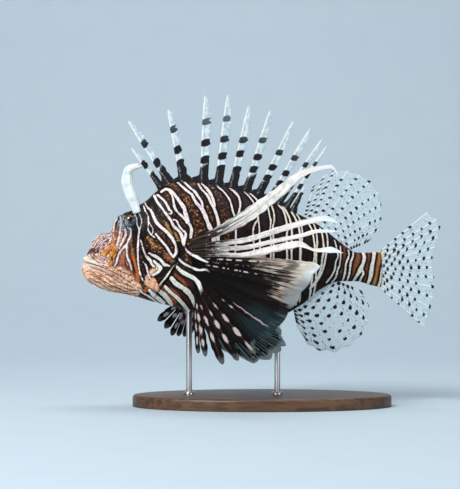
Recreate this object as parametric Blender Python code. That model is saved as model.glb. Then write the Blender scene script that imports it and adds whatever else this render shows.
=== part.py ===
"""A red lionfish, life size, held over a flat base by two rods.

Sizes are in millimetres until a mesh is made. The snout points to -X, the tail to +X and up is +Z, so the
fish's left side faces -Y. The origin is the middle of the base's underside.
"""

import math

import bmesh
import bpy
import numpy as np
from mathutils import Matrix

MM = 0.001
SIDES = {"left": -1, "right": 1}
GAP = 0.3  # between nodes that touch
ROOT_SINK = 3.0  # how deep a fin's root starts inside the body before it is trimmed to the skin

# Body outline from the chin to the end of the tail base: x, back, belly, half width
BODY_OUTLINE = [
    (-153.0, 119.6, 116.5, 1.3),
    (-151.0, 123.4, 111.4, 4.6),
    (-148.2, 127.8, 107.6, 7.0),
    (-144.6, 135.4, 104.8, 9.4),
    (-140.4, 142.0, 102.6, 11.2),
    (-135.0, 146.4, 100.2, 13.0),
    (-129.6, 146.6, 98.2, 14.4),
    (-126.8, 150.2, 97.4, 15.0),
    (-124.4, 157.0, 96.8, 15.5),
    (-120.4, 161.6, 96.0, 16.2),
    (-114.8, 164.8, 95.0, 17.2),
    (-107.0, 168.6, 93.4, 18.6),
    (-99.5, 173.6, 90.8, 20.2),
    (-86.7, 184.6, 87.2, 22.2),
    (-76.0, 190.0, 84.6, 23.2),
    (-61.2, 190.6, 80.4, 23.4),
    (-35.7, 186.8, 74.8, 22.2),
    (-10.2, 180.8, 73.0, 19.8),
    (15.3, 170.6, 76.8, 16.5),
    (34.9, 161.2, 87.0, 13.1),
    (49.3, 153.0, 99.0, 10.7),
    (66.3, 139.6, 106.0, 8.3),
    (80.0, 130.6, 106.0, 6.9),
    (92.0, 130.4, 103.0, 5.3),
    (102.0, 131.2, 100.6, 2.1),
]
HEAD_STATIONS = 60
TRUNK_STATIONS = 40
HEAD_END_X = -84.0
POINTS_ROUND = 96
BODY_FACES_KEPT = 0.16  # share of the fine grid's triangles left where the skin is flatter
CROWN_TAPER = 0.16  # how much narrower the back is than the belly
CHEEK_SQUARENESS = 0.86

EYE_CENTRE = (-111.5, 8.8, 157.0)
EYE_RADIUS = 6.8
EYE_RIM_OUT = 1.7
EYE_RIM_WIDTH = 1.8

# Raised or sunken forms of the head and shoulder, the same on both sides: two ends, radius, push outwards
HEAD_FORMS = {
    "nostril hump": ((-141.0, 5.0, 138.0), (-135.0, 6.0, 144.0), 4.5, 1.5),
    "brow": ((-123.0, 7.5, 157.0), (-108.0, 10.5, 167.0), 5.0, 2.6),
    "trough between the eyes": ((-125.0, 0.0, 155.0), (-112.0, 0.0, 165.0), 4.5, -2.6),
    "upper jaw bone": ((-138.0, 11.0, 121.0), (-126.0, 14.5, 115.0), 3.6, 1.3),
    "cheek ridge": ((-128.0, 15.0, 136.0), (-100.0, 20.0, 132.0), 3.8, 1.5),
    "hollow below the eye": ((-122.0, 15.0, 146.0), (-106.0, 17.5, 143.0), 4.0, -1.2),
    "front edge of the gill cover": ((-104.0, 20.0, 128.0), (-100.0, 17.5, 104.0), 3.6, 1.1),
    "nape crest": ((-104.0, 10.5, 170.0), (-90.0, 11.0, 176.0), 4.5, 1.6),
    "chin": ((-146.0, 3.0, 107.0), (-128.0, 5.5, 99.0), 4.5, 0.9),
    "shoulder lobe": ((-62.0, 21.5, 136.0), (-56.0, 20.0, 102.0), 7.5, 2.4),
}

# Mouth line from the lips to its corner, then the back edge of the lower jaw down to the throat
MOUTH_LINE = [
    (-160.0, 125.6),
    (-150.0, 124.0),
    (-143.6, 121.8),
    (-135.0, 118.6),
    (-127.0, 115.0),
    (-121.5, 111.5),
]
JAW_BACK = [(-116.0, 106.0), (-111.0, 99.0), (-107.0, 88.0), (-105.0, 80.0)]
MOUTH_OPEN = [9.0, 4.6, 1.5, 0.8, 0.6, GAP, GAP, GAP, GAP, GAP]
LIP_OUT = 1.1
LIP_WIDTH = 2.3
# Gill opening and the seams between the trunk's lengths, top to bottom
GILL_LINE = [
    (-92.0, 200.0),
    (-88.5, 182.0),
    (-81.0, 160.0),
    (-73.5, 143.0),
    (-70.0, 129.0),
    (-75.0, 116.0),
    (-84.5, 103.0),
    (-92.0, 91.0),
    (-95.0, 75.0),
]
TRUNK_SEAM = [(2.0, 200.0), (-4.0, 150.0), (-3.0, 110.0), (4.0, 60.0)]
TAIL_SEAM = [(62.0, 170.0), (60.0, 122.0), (64.0, 80.0)]
GILL_COVER = [
    (-108.0, 150.0),
    (-88.0, 152.0),
    (-66.0, 140.0),
    (-66.0, 116.0),
    (-86.0, 96.0),
    (-101.0, 101.0),
    (-106.0, 122.0),
]
GILL_COVER_INNER_Y = 14.0
CUTTER_REACH = 70.0  # how far a cutter runs out past the body's sides
COVER_CUT_REACH = 60.0
NOSTRILS = [((-142.0, 132.5), 0.9), ((-133.5, 141.5), 1.1)]  # x and z, radius
NOSTRIL_DEPTH = 2.4
NOSTRIL_CUT_OUT = 8.0

MEMBRANE = 0.28  # half thickness of a fin's membrane
RAY = 0.55  # half thickness of a fin's ray
RAY_THINNING = 0.5  # share of its thickness that a ray loses by its tip
MEMBRANE_ROOM = 0.38  # most of the space between two rays that one of them may take
ROOT_FADE = 0.05  # share of a ray's length over which its thick root fades

# Spines of the back: x of the root on the back line, lean backwards in degrees, length, membrane width
BACK_SPINES = [
    (-85.5, -39.0, 43.0, 4.2),
    (-79.5, -34.0, 64.0, 5.6),
    (-68.0, -12.5, 63.0, 6.2),
    (-51.5, 1.0, 74.0, 7.8),
    (-38.8, 5.8, 77.0, 7.4),
    (-26.8, 11.0, 71.5, 6.6),
    (-14.8, 16.0, 71.5, 6.4),
    (-4.4, 24.5, 69.0, 6.0),
    (5.4, 29.0, 70.0, 5.4),
    (13.4, 33.0, 66.0, 4.6),
    (20.0, 32.5, 62.0, 4.2),
    (25.5, 24.0, 22.0, 3.0),
]
SPINE_FOOT_ROWS = (0.0, 6.0, 10.0)  # heights from the sunk foot, where the membrane joins the spines
SPINE_UPPER_ROWS = (0.3, 0.62, 0.86, 1.0)  # shares of the rest of the length
SPINE_FOOT_FLARE = 3.2
SPINE_FLARE_HEIGHT = 6.0
SPINE_FRONT_WEB = 1.1
SPINE_BEND = 1.5  # how far the tips lie behind a straight spine's
SPINE_THICK = 0.85
SPINE_ROOT_THICK = 1.4

# Fan-shaped fins in the middle plane: first and last root on the body's outline, and margin points
MIDDLE_ROOT_THICK = 1.3
TAIL_ROOT_THICK = 1.8
SOFT_BACK_RAYS = 10
SOFT_BACK_ROWS = 7
SOFT_BACK_BOW = (-1.5, 2.0)
ANAL_RAYS = 9
TAIL_RAYS = 11
FAN_ROWS = 6
SOFT_BACK_ROOT = (35.5, 71.5)
SOFT_BACK_MARGIN = [
    (44.0, 188.0),
    (62.0, 201.0),
    (86.0, 196.0),
    (101.0, 175.0),
    (102.0, 156.0),
    (92.0, 141.0),
]
ANAL_ROOT = (27.0, 59.0)
ANAL_MARGIN = [
    (31.0, 65.0),
    (43.0, 48.5),
    (61.0, 45.5),
    (77.0, 53.0),
    (89.0, 67.0),
    (91.5, 82.0),
    (85.0, 97.5),
]
TAIL_MARGIN = [
    (141.0, 165.0),
    (152.0, 154.0),
    (147.5, 136.0),
    (144.5, 118.0),
    (147.0, 103.0),
    (144.0, 86.0),
    (138.5, 67.0),
]
TAIL_ROOT_X = 98.0
TAIL_ROOT_INSET = 1.5

# Tips of the breast fins' rays, top to bottom: x, distance out from the middle plane, z
LEFT_BREAST_TIPS = [
    (60.4, 84.0, 191.6),
    (59.5, 85.0, 154.5),
    (60.5, 92.0, 148.0),
    (61.0, 96.0, 130.0),
    (45.0, 98.0, 119.5),
    (36.5, 97.0, 106.5),
    (27.0, 94.0, 91.5),
    (16.0, 90.0, 76.0),
    (5.0, 85.0, 61.5),
    (-6.5, 79.0, 49.0),
    (-20.5, 72.0, 43.0),
    (-33.0, 65.0, 39.5),
    (-47.5, 58.0, 45.5),
    (-53.5, 50.0, 47.5),
]
RIGHT_BREAST_TIPS = [
    (22.0, 118.0, 157.0),
    (27.0, 122.0, 148.0),
    (26.0, 125.0, 138.0),
    (23.0, 127.0, 127.0),
    (15.0, 127.0, 116.0),
    (8.0, 125.0, 106.0),
    (-2.0, 121.0, 96.0),
    (-14.0, 115.0, 87.0),
    (-28.0, 107.0, 78.0),
    (-42.0, 98.0, 69.0),
    (-56.0, 88.0, 60.0),
    (-68.0, 78.0, 55.0),
    (-79.0, 69.0, 56.5),
    (-91.0, 60.0, 70.0),
]
BREAST_ROOT = ((-63.5, 138.0), (-56.5, 98.0))  # x and z of the first and last ray's root
# The left fin's top ray, a ribbon that rises, levels off and hooks down: x, distance out, z
TOP_RIBBON = [
    (-63.0, 20.0, 138.0),
    (-52.0, 31.0, 142.5),
    (-38.0, 42.0, 147.5),
    (-14.9, 55.0, 159.8),
    (11.5, 68.0, 178.8),
    (31.5, 76.0, 194.7),
    (45.5, 80.0, 199.0),
    (54.2, 83.0, 200.0),
    (60.4, 84.0, 191.6),
]
BREAST_ROWS = 9
BREAST_WEB_ROWS = [1, 2, 2, 4, 8, 8, 8, 8, 7, 6, 5, 4, 4]  # how far the membrane joins each ray to the next
BREAST_WIDTHS = [4.6, 3.2, 2.4, 3.4, 3.8, 4.0, 4.0, 4.0, 3.8, 3.6, 3.8, 4.0, 3.8, 3.6]
BREAST_LIFTS = [12.0, 9.0, 6.0, 3.0, 1.0] + [0.0] * 9  # how far a ray arches upwards
BREAST_BOW = 13.0  # how far the rays bow outwards
BREAST_RAY = 0.65
BREAST_ROOT_THICK = 1.8
BREAST_ROOT_SINK = 1.0

# Tips of the pelvic fins' rays, front to back: x, distance out, z
PELVIC_TIPS = [
    (-31.0, 30.0, 48.0),
    (-8.0, 38.0, 38.5),
    (6.0, 41.0, 42.0),
    (15.0, 38.0, 49.0),
    (19.5, 33.0, 53.5),
    (15.5, 26.0, 66.5),
]
PELVIC_ROOT = ((-51.0, 9.0, 5.0), (-36.0, 4.5, 8.0))  # x, distance out and height over the belly line
PELVIC_BOW = 4.0
PELVIC_ROWS = 7
PELVIC_ROOT_THICK = 1.2
PELVIC_RAY_WIDTH = 3.2
MIDDLE_RAY_WIDTH = 2.4

# Feeler over each eye: x, distance out, z, half width
FEELER = [
    (-105.5, 10.5, 164.0, 3.2),
    (-108.0, 12.0, 171.0, 3.6),
    (-112.2, 14.5, 181.5, 4.0),
    (-114.6, 16.0, 191.0, 4.1),
    (-114.0, 17.0, 199.0, 3.8),
    (-110.0, 17.5, 202.8, 2.8),
    (-106.0, 17.5, 204.0, 1.7),
    (-102.9, 17.0, 204.6, 0.6),
]
FEELER_THICK = 1.1
FEELER_ROWS = 14

# Skin tags of the head: path of x, distance out, z and half width
SNOUT_TAG = [
    (-140.5, 8.0, 133.0, 1.2),
    (-143.0, 11.5, 132.6, 1.5),
    (-145.5, 13.0, 131.2, 1.2),
    (-147.0, 13.0, 129.0, 0.5),
]
CHEEK_FLAP = [
    (-97.5, 15.0, 109.5, 2.0),
    (-93.0, 20.5, 107.0, 3.0),
    (-89.8, 23.5, 103.0, 2.8),
    (-87.4, 24.5, 99.0, 0.8),
]
TAG_THICK = 0.6
TAG_ROWS = 6
BLADE_EDGE = 0.4  # thickness of a blade's edge, and where it starts to thin, as shares

BASE_LENGTH = 220.0
BASE_WIDTH = 120.0
BASE_HEIGHT = 10.0
BASE_EDGE = 2.5
BASE_FOOT_EDGE = 1.0
BASE_SIDES = 40
ROD_RADIUS = 2.5
ROD_INTO_BODY = 8.0  # how far a rod reaches over the belly line before it is trimmed
ROD_XS = {"stand_rod_front": -62.0, "stand_rod_rear": 13.0}


def smooth(xs, ys, x):
    """A curve through the points that never overshoots them (monotone cubic)."""
    xs, ys, x = np.asarray(xs, float), np.asarray(ys, float), np.asarray(x, float)
    step = np.diff(xs)
    slope = np.diff(ys) / step
    inner = np.zeros(len(xs))
    same = slope[:-1] * slope[1:] > 0
    before, after = slope[:-1][same], slope[1:][same]
    inner[1:-1][same] = 2 * before * after / (before + after)
    inner[0], inner[-1] = slope[0], slope[-1]
    i = np.clip(np.searchsorted(xs, x) - 1, 0, len(xs) - 2)
    t = np.clip((x - xs[i]) / step[i], 0, 1)
    return (
        ys[i] * (1 + 2 * t) * (1 - t) ** 2
        + inner[i] * step[i] * t * (1 - t) ** 2
        + ys[i + 1] * t * t * (3 - 2 * t)
        - inner[i + 1] * step[i] * t * t * (1 - t)
    )


def back(x):
    return smooth([r[0] for r in BODY_OUTLINE], [r[1] for r in BODY_OUTLINE], x)


def belly(x):
    return smooth([r[0] for r in BODY_OUTLINE], [r[2] for r in BODY_OUTLINE], x)


def half_width(x):
    return smooth([r[0] for r in BODY_OUTLINE], [r[3] for r in BODY_OUTLINE], x)


def along(points, t):
    """Points at shares t of a smooth curve through a few points, spaced by its length."""
    points = np.asarray(points, float)
    run = np.concatenate([[0], np.cumsum(np.linalg.norm(np.diff(points, axis=0), axis=1))])
    return np.stack([smooth(run / run[-1], column, t) for column in points.T], axis=-1)


def unit(v):
    return v / np.maximum(np.linalg.norm(v, axis=-1, keepdims=True), 1e-9)


def side_y(x, z):
    """Half width of the body at a height, without the head's small forms."""
    middle, half = (back(x) + belly(x)) / 2, (back(x) - belly(x)) / 2
    up = np.clip((z - middle) / half, -0.999, 0.999)
    return half_width(x) * np.sqrt(1 - up * up) * (1 - CROWN_TAPER * up)


def segment_distance(points, start, end):
    start, run = np.asarray(start, float), np.subtract(end, start)
    t = np.clip((points - start) @ run / (run @ run), 0, 1)
    return np.linalg.norm(points - start - t[..., None] * run, axis=-1)


def form_push(points):
    """How far each skin point stands out for the lips, the eye rims and the head's forms."""
    p = np.array(points)
    p[..., 1] = np.abs(p[..., 1])
    push = np.zeros(points.shape[:-1])
    for start, end, radius, out in HEAD_FORMS.values():
        push += out * np.exp(-((segment_distance(p, start, end) / radius) ** 2))
    from_eye = np.linalg.norm(p - EYE_CENTRE, axis=-1)
    push += EYE_RIM_OUT * np.exp(-(((from_eye - EYE_RADIUS - 1.0) / EYE_RIM_WIDTH) ** 2))
    flat = p * [1, 0, 1]
    lip = np.full(points.shape[:-1], 1e3)
    for (x0, z0), (x1, z1) in zip(MOUTH_LINE[:-1], MOUTH_LINE[1:]):
        lip = np.minimum(lip, segment_distance(flat, (x0, 0, z0), (x1, 0, z1)))
    return push + LIP_OUT * np.exp(-((lip / LIP_WIDTH) ** 2))


def grid_normals(grid):
    """Outward normals of a grid of rings."""
    down = np.gradient(grid, axis=0)
    round_ = (np.roll(grid, -1, axis=1) - np.roll(grid, 1, axis=1)) / 2
    return unit(np.cross(round_, down))


def body_rings():
    """Rings of points round the body."""
    head_share = np.linspace(0, 1, HEAD_STATIONS) ** 1.5
    head = BODY_OUTLINE[0][0] + head_share * (HEAD_END_X - BODY_OUTLINE[0][0])
    trunk = np.linspace(HEAD_END_X, BODY_OUTLINE[-1][0], TRUNK_STATIONS + 1)[1:]
    x = np.concatenate([head, trunk])[:, None]
    angle = np.linspace(0, 2 * math.pi, POINTS_ROUND, endpoint=False)[None, :]
    square = smooth([-160, -130, -80, 0, 110], [1, CHEEK_SQUARENESS, 0.9, 1, 1], x)
    across = np.sign(np.cos(angle)) * np.abs(np.cos(angle)) ** square
    up = np.sign(np.sin(angle)) * np.abs(np.sin(angle)) ** square
    middle, half = (back(x) + belly(x)) / 2, (back(x) - belly(x)) / 2
    y = half_width(x) * across * (1 - CROWN_TAPER * up)
    grid = np.stack(np.broadcast_arrays(x + 0 * angle, y, middle + half * up), axis=-1)
    return grid + form_push(grid)[..., None] * grid_normals(grid)


def body_solid():
    """The whole body, with the triangles kept small only where the skin bends."""
    body = closed_loft("body", body_rings())
    thin_out = body.modifiers.new("thin out", "DECIMATE")
    thin_out.ratio = BODY_FACES_KEPT
    apply_modifiers(body)
    return body


def grown_copy(obj, name, grow):
    """A copy whose skin lies outside the first one's by a gap."""
    twin = copy_of(obj, name)
    for vertex, normal in zip(twin.data.vertices, [n.vector.copy() for n in twin.data.vertex_normals]):
        vertex.co += normal * grow * MM
    return twin


def add_mesh(name, points, faces):
    """A mesh object from points in millimetres."""
    mesh = bpy.data.meshes.new(name)
    mesh.from_pydata((np.asarray(points, float) * MM).tolist(), [], [list(map(int, f)) for f in faces])
    mesh.validate()
    obj = bpy.data.objects.new(name, mesh)
    bpy.context.scene.collection.objects.link(obj)
    return obj


def closed_loft(name, grid):
    """A closed solid from rings of points, with a fan at each end."""
    rings, count = grid.shape[:2]
    points = list(grid.reshape(-1, 3)) + [grid[0].mean(0), grid[-1].mean(0)]
    faces = []
    for r in range(rings - 1):
        for i in range(count):
            j = (i + 1) % count
            a, b, c, d = r * count + i, r * count + j, (r + 1) * count + j, (r + 1) * count + i
            faces += [(a, b, c), (a, c, d)]
    first, last = len(points) - 2, len(points) - 1
    for i in range(count):
        j = (i + 1) % count
        faces += [(first, j, i), (last, (rings - 1) * count + i, (rings - 1) * count + j)]
    obj = add_mesh(name, points, faces)
    face_outwards(obj)
    return obj


def face_outwards(obj):
    made = bmesh.new()
    made.from_mesh(obj.data)
    bmesh.ops.recalc_face_normals(made, faces=made.faces)
    if made.calc_volume(signed=True) < 0:
        bmesh.ops.reverse_faces(made, faces=made.faces)
    made.to_mesh(obj.data)
    made.free()


def remove(obj):
    mesh = obj.data
    bpy.data.objects.remove(obj)
    if mesh.users == 0:
        bpy.data.meshes.remove(mesh)


def copy_of(obj, name):
    twin = bpy.data.objects.new(name, obj.data.copy())
    bpy.context.scene.collection.objects.link(twin)
    return twin


def apply_modifiers(obj):
    bpy.context.view_layer.update()
    graph = bpy.context.evaluated_depsgraph_get()
    made = bpy.data.meshes.new_from_object(obj.evaluated_get(graph))
    obj.modifiers.clear()
    old, obj.data = obj.data, made
    bpy.data.meshes.remove(old)


def boolean(obj, operation, others):
    """Applies one Boolean with a collection of closed meshes and removes them."""
    group = bpy.data.collections.new("cutters")
    for other in others:
        group.objects.link(other)
    modifier = obj.modifiers.new("boolean", "BOOLEAN")
    modifier.operation = operation
    modifier.operand_type = "COLLECTION"
    modifier.collection = group
    modifier.solver = "EXACT"
    apply_modifiers(obj)
    bpy.data.collections.remove(group)
    for other in others:
        remove(other)


def shells(obj):
    """The closed surfaces of a mesh, largest first, each as a list of face indices with its volume."""
    made = bmesh.new()
    made.from_mesh(obj.data)
    seen, found = set(), []
    for start in made.faces:
        if start.index in seen:
            continue
        pile, group = [start], []
        seen.add(start.index)
        while pile:
            face = pile.pop()
            group.append(face)
            for edge in face.edges:
                for other in edge.link_faces:
                    if other.index not in seen:
                        seen.add(other.index)
                        pile.append(other)
        volume = 0.0
        for face in group:
            first = face.verts[0].co
            for a, b in zip(face.verts[1:-1], face.verts[2:]):
                volume += first.dot(a.co.cross(b.co)) / 6
        found.append((volume, [f.index for f in group]))
    made.free()
    return sorted(found, key=lambda item: -abs(item[0]))


def keep_faces(obj, wanted):
    made = bmesh.new()
    made.from_mesh(obj.data)
    made.faces.ensure_lookup_table()
    unwanted = [f for f in made.faces if f.index not in wanted]
    bmesh.ops.delete(made, geom=unwanted, context="FACES")
    made.to_mesh(obj.data)
    made.free()


def keep_largest(obj):
    """Leaves only the largest closed surface."""
    keep_faces(obj, set(shells(obj)[0][1]))


def split_in_two(obj, front_name, back_name):
    """Parts a mesh that a cut has left as two closed surfaces, by which lies nearer the snout."""
    pieces = []
    for _, faces in shells(obj)[:2]:
        piece = copy_of(obj, "piece")
        keep_faces(piece, set(faces))
        pieces.append(piece)
    pieces.sort(key=lambda piece: sum(v.co.x for v in piece.data.vertices) / len(piece.data.vertices))
    remove(obj)
    for piece, name in zip(pieces, (front_name, back_name)):
        piece.name = name
    return pieces


def curved_slab(name, line, thickness):
    """A thin cutter that follows a line in the middle plane and runs right across the body."""
    line = np.asarray(line, float)
    smooth_line = along(line, np.linspace(0, 1, 3 * len(line)))
    thick = smooth(np.linspace(0, 1, len(thickness)), thickness, np.linspace(0, 1, len(smooth_line)))
    tangent = unit(np.gradient(smooth_line, axis=0))
    normal = np.stack([-tangent[:, 1], tangent[:, 0]], axis=-1)
    upper = smooth_line + normal * thick[:, None] / 2
    lower = smooth_line - normal * thick[:, None] / 2
    corners = [(upper, -CUTTER_REACH), (upper, CUTTER_REACH), (lower, CUTTER_REACH), (lower, -CUTTER_REACH)]
    rings = [[(edge[i, 0], y, edge[i, 1]) for edge, y in corners] for i in range(len(smooth_line))]
    return closed_loft(name, np.array(rings))


def side_prism(name, outline, from_y, to_y):
    """A closed block with the given side outline, between two distances from the middle plane."""
    outline = np.asarray(outline, float)
    rings = [[(x, y, z) for x, z in outline] for y in (from_y, to_y)]
    return closed_loft(name, np.array(rings))


def grown_outline(outline, grow):
    outline = np.asarray(outline, float)
    centre = outline.mean(0)
    return outline + unit(outline - centre) * grow


def ball(name, centre, radius, segments=16, rings=9):
    made = bmesh.new()
    bmesh.ops.create_uvsphere(made, u_segments=segments, v_segments=rings, radius=radius * MM)
    poles_sideways = Matrix.Rotation(math.radians(90), 3, "X")
    bmesh.ops.rotate(made, verts=made.verts, cent=(0, 0, 0), matrix=poles_sideways)
    bmesh.ops.translate(made, verts=made.verts, vec=[c * MM for c in centre])
    bmesh.ops.triangulate(made, faces=made.faces)
    mesh = bpy.data.meshes.new(name)
    made.to_mesh(mesh)
    made.free()
    obj = bpy.data.objects.new(name, mesh)
    bpy.context.scene.collection.objects.link(obj)
    return obj


def cylinder_between(name, start, end, radius, count=20):
    """A closed round bar."""
    start, end = np.asarray(start, float), np.asarray(end, float)
    axis = unit(end - start)
    helper = np.array([0, 0, 1.0]) if abs(axis[2]) < 0.9 else np.array([1.0, 0, 0])
    u = unit(np.cross(axis, helper))
    v = np.cross(axis, u)
    angle = np.linspace(0, 2 * math.pi, count, endpoint=False)[:, None]
    ring = radius * (np.cos(angle) * u + np.sin(angle) * v)
    return closed_loft(name, np.array([start + ring, end + ring]))


def thick_sheet(name, points, half, triangles):
    """A closed solid from a sheet of triangles, split alike on both faces, with its edge walled."""
    points, half = np.asarray(points, float), np.asarray(half, float)[:, None]
    count = len(points)
    normals = np.zeros_like(points)
    for a, b, c in triangles:
        normals[[a, b, c]] += np.cross(points[b] - points[a], points[c] - points[a])
    normals = unit(normals)
    solid_points = np.concatenate([points + normals * half, points - normals * half])
    faces = [tuple(t) for t in triangles] + [(a + count, c + count, b + count) for a, b, c in triangles]
    edges = {(t[i], t[(i + 1) % 3]) for t in triangles for i in range(3)}
    for a, b in sorted(edges):
        if (b, a) not in edges:
            faces += [(b, a, a + count), (b, a + count, b + count)]
    obj = add_mesh(name, solid_points, faces)
    face_outwards(obj)
    return obj


def rayed_fin(name, lines, front, rear, web_rows, root_thick, ray=RAY):
    """A fin as one thick sheet, with a raised ray down each line and membrane between them.

    lines holds one row of points for each ray, root to tip. front and rear are the widths of membrane that
    belong to each ray, and web_rows says up to which row the membrane joins each ray to the next.
    """
    lines = np.asarray(lines, float)
    rays, rows = lines.shape[:2]
    tangent = unit(np.gradient(lines, axis=1))
    across = np.gradient(lines, axis=0)
    across = unit(across - (across * tangent).sum(-1, keepdims=True) * tangent)
    apart = np.minimum(space_beside(lines, tangent[:-1]), space_beside(lines, tangent[1:]))
    none = np.full((1, rows), 1e3)
    front = np.minimum(front, MEMBRANE_ROOM * np.concatenate([none, apart]))
    rear = np.minimum(rear, MEMBRANE_ROOM * np.concatenate([apart, none]))
    t = lengths_along(lines)
    ridge = ray * (1 - RAY_THINNING * t**2)
    root = root_thick * np.exp(-t / ROOT_FADE)
    columns = [(-front, MEMBRANE + 0 * t), (0 * t, ridge), (rear, MEMBRANE + 0 * t)]
    points = np.stack([lines + across * shift[..., None] for shift, _ in columns], axis=1)
    half = np.stack([np.maximum(thick, root) for _, thick in columns], axis=1)
    index = np.arange(rays * 3 * rows).reshape(rays, 3, rows)
    triangles = []
    for i in range(rays):
        pairs = [(index[i, 0], index[i, 1], rows - 1), (index[i, 1], index[i, 2], rows - 1)]
        if i < rays - 1:
            pairs.append((index[i, 2], index[i + 1, 0], web_rows[i]))
        for left, right, last in pairs:
            for k in range(last):
                triangles += [(left[k], right[k], right[k + 1]), (left[k], right[k + 1], left[k + 1])]
    return thick_sheet(name, points.reshape(-1, 3), half.ravel(), triangles)


def space_beside(lines, tangent):
    """Distance from each ray to the next, measured square to a direction along them."""
    step = np.diff(lines, axis=0)
    return np.linalg.norm(step - (step * tangent).sum(-1, keepdims=True) * tangent, axis=-1)


def lengths_along(lines):
    """Each point's share of its line's length."""
    steps = np.linalg.norm(np.diff(lines, axis=1), axis=-1)
    run = np.concatenate([np.zeros((len(lines), 1)), np.cumsum(steps, axis=1)], axis=1)
    return run / run[:, -1:]


def tip_shares(rows):
    """Shares of a ray's length that lie closer together towards its tip."""
    return 1 - (1 - np.linspace(0, 1, rows)) ** 1.25


def blunt(t, start):
    """A width that stays full and then rounds off to a blunt tip."""
    return np.sqrt(1 - 0.88 * np.clip((t - start) / (1 - start), 0, 1) ** 2)


def fan_lines(root_points, tip_points, rows, bow=None):
    """Ray lines from roots to tips, each bowed off its straight line by its own vector."""
    t = tip_shares(rows)[None, :, None]
    root_points = np.asarray(root_points, float)[:, None]
    tip_points = np.asarray(tip_points, float)[:, None]
    lines = root_points * (1 - t) + tip_points * t
    if bow is not None:
        lines = lines + np.asarray(bow, float)[:, None] * 4 * t * (1 - t)
    return lines


def middle_points(xz):
    return np.stack([xz[:, 0], 0 * xz[:, 0], xz[:, 1]], axis=-1)


def trim_to_skin(obj, grown_body):
    """Cuts a root to the body's surface, a small gap off it."""
    boolean(obj, "DIFFERENCE", [copy_of(grown_body, "trimmer")])
    keep_largest(obj)


def spiny_back_fin(grown_body):
    """Spines that fan out along the back, each with a narrow membrane behind it that flares at the foot."""
    lines, front, rear = [], [], []
    for root_x, lean, length, width in BACK_SPINES:
        lean = math.radians(lean)
        direction = np.array([math.sin(lean), 0, math.cos(lean)])
        foot = np.array([root_x, 0, float(back(root_x))]) - direction * ROOT_SINK
        upper = length + ROOT_SINK - SPINE_FOOT_ROWS[-1]
        upper_rows = [SPINE_FOOT_ROWS[-1] + upper * share for share in SPINE_UPPER_ROWS]
        heights = np.array([*SPINE_FOOT_ROWS, *upper_rows])
        bend = np.outer((heights / heights[-1]) ** 2, [SPINE_BEND, 0, 0])
        lines.append(foot + np.outer(heights, direction) + bend)
        flare = SPINE_FOOT_FLARE * np.exp(-heights / SPINE_FLARE_HEIGHT)
        shape = blunt(heights / heights[-1], start=0.55)
        front.append(SPINE_FRONT_WEB * shape + flare)
        rear.append((width - SPINE_FRONT_WEB) * shape + flare)
    web_rows = [1] * (len(lines) - 1)
    fin = rayed_fin("back_fin_spines", lines, front, rear, web_rows, SPINE_ROOT_THICK, SPINE_THICK)
    trim_to_skin(fin, grown_body)


def middle_fin(name, roots, margin, rows, bow, root_thick, grown_body):
    """A see-through fan in the middle plane, its rays spread evenly along the margin."""
    share = np.linspace(0, 1, len(roots))
    tips = middle_points(along(margin, share))
    bows = middle_points(np.outer(np.sin(share * math.pi), bow))
    lines = fan_lines(middle_points(roots), tips, rows, bows)
    width = MIDDLE_RAY_WIDTH * blunt(lengths_along(lines), start=0.8)
    fin = rayed_fin(name, lines, width, width, [rows - 1] * (len(roots) - 1), root_thick)
    trim_to_skin(fin, grown_body)


def middle_fins(grown_body):
    """The soft fin of the back, the anal fin and the tail fin."""
    straight = (0.0, 0.0)
    x = np.linspace(*SOFT_BACK_ROOT, SOFT_BACK_RAYS)
    roots = np.stack([x, back(x) - ROOT_SINK], axis=-1)
    soft_back = ("back_fin_soft", roots, SOFT_BACK_MARGIN, SOFT_BACK_ROWS, SOFT_BACK_BOW)
    middle_fin(*soft_back, MIDDLE_ROOT_THICK, grown_body)
    x = np.linspace(*ANAL_ROOT, ANAL_RAYS)
    roots = np.stack([x, belly(x) + ROOT_SINK], axis=-1)
    middle_fin("anal_fin", roots, ANAL_MARGIN, FAN_ROWS, straight, MIDDLE_ROOT_THICK, grown_body)
    top = float(back(TAIL_ROOT_X)) - TAIL_ROOT_INSET
    bottom = float(belly(TAIL_ROOT_X)) + TAIL_ROOT_INSET
    roots = np.stack([np.full(TAIL_RAYS, TAIL_ROOT_X), np.linspace(top, bottom, TAIL_RAYS)], axis=-1)
    middle_fin("tail_fin", roots, TAIL_MARGIN, FAN_ROWS, straight, TAIL_ROOT_THICK, grown_body)


def breast_fin(name, side, tips, top_ribbon, grown_body):
    """A breast fin of fourteen rays: long free ribbons above, a webbed fan, and blunt fingers below."""
    share = np.linspace(0, 1, len(tips))
    (x0, z0), (x1, z1) = BREAST_ROOT
    x, z = x0 + (x1 - x0) * share, z0 + (z1 - z0) * share
    roots = np.stack([x, side * (side_y(x, z) - BREAST_ROOT_SINK), z], axis=-1)
    ends = np.array([(x, side * out, z) for x, out, z in tips])
    bow = np.array([(0, side * BREAST_BOW, lift) for lift in BREAST_LIFTS])
    lines = fan_lines(roots, ends, BREAST_ROWS, bow)
    if top_ribbon:
        path = [roots[0]] + [(x, side * out, z) for x, out, z in top_ribbon[1:]]
        lines[0] = along(path, tip_shares(BREAST_ROWS))
    width = np.array(BREAST_WIDTHS)[:, None] * blunt(lengths_along(lines), start=0.7)
    fin = rayed_fin(name, lines, width, width, BREAST_WEB_ROWS, BREAST_ROOT_THICK, BREAST_RAY)
    trim_to_skin(fin, grown_body)


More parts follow.
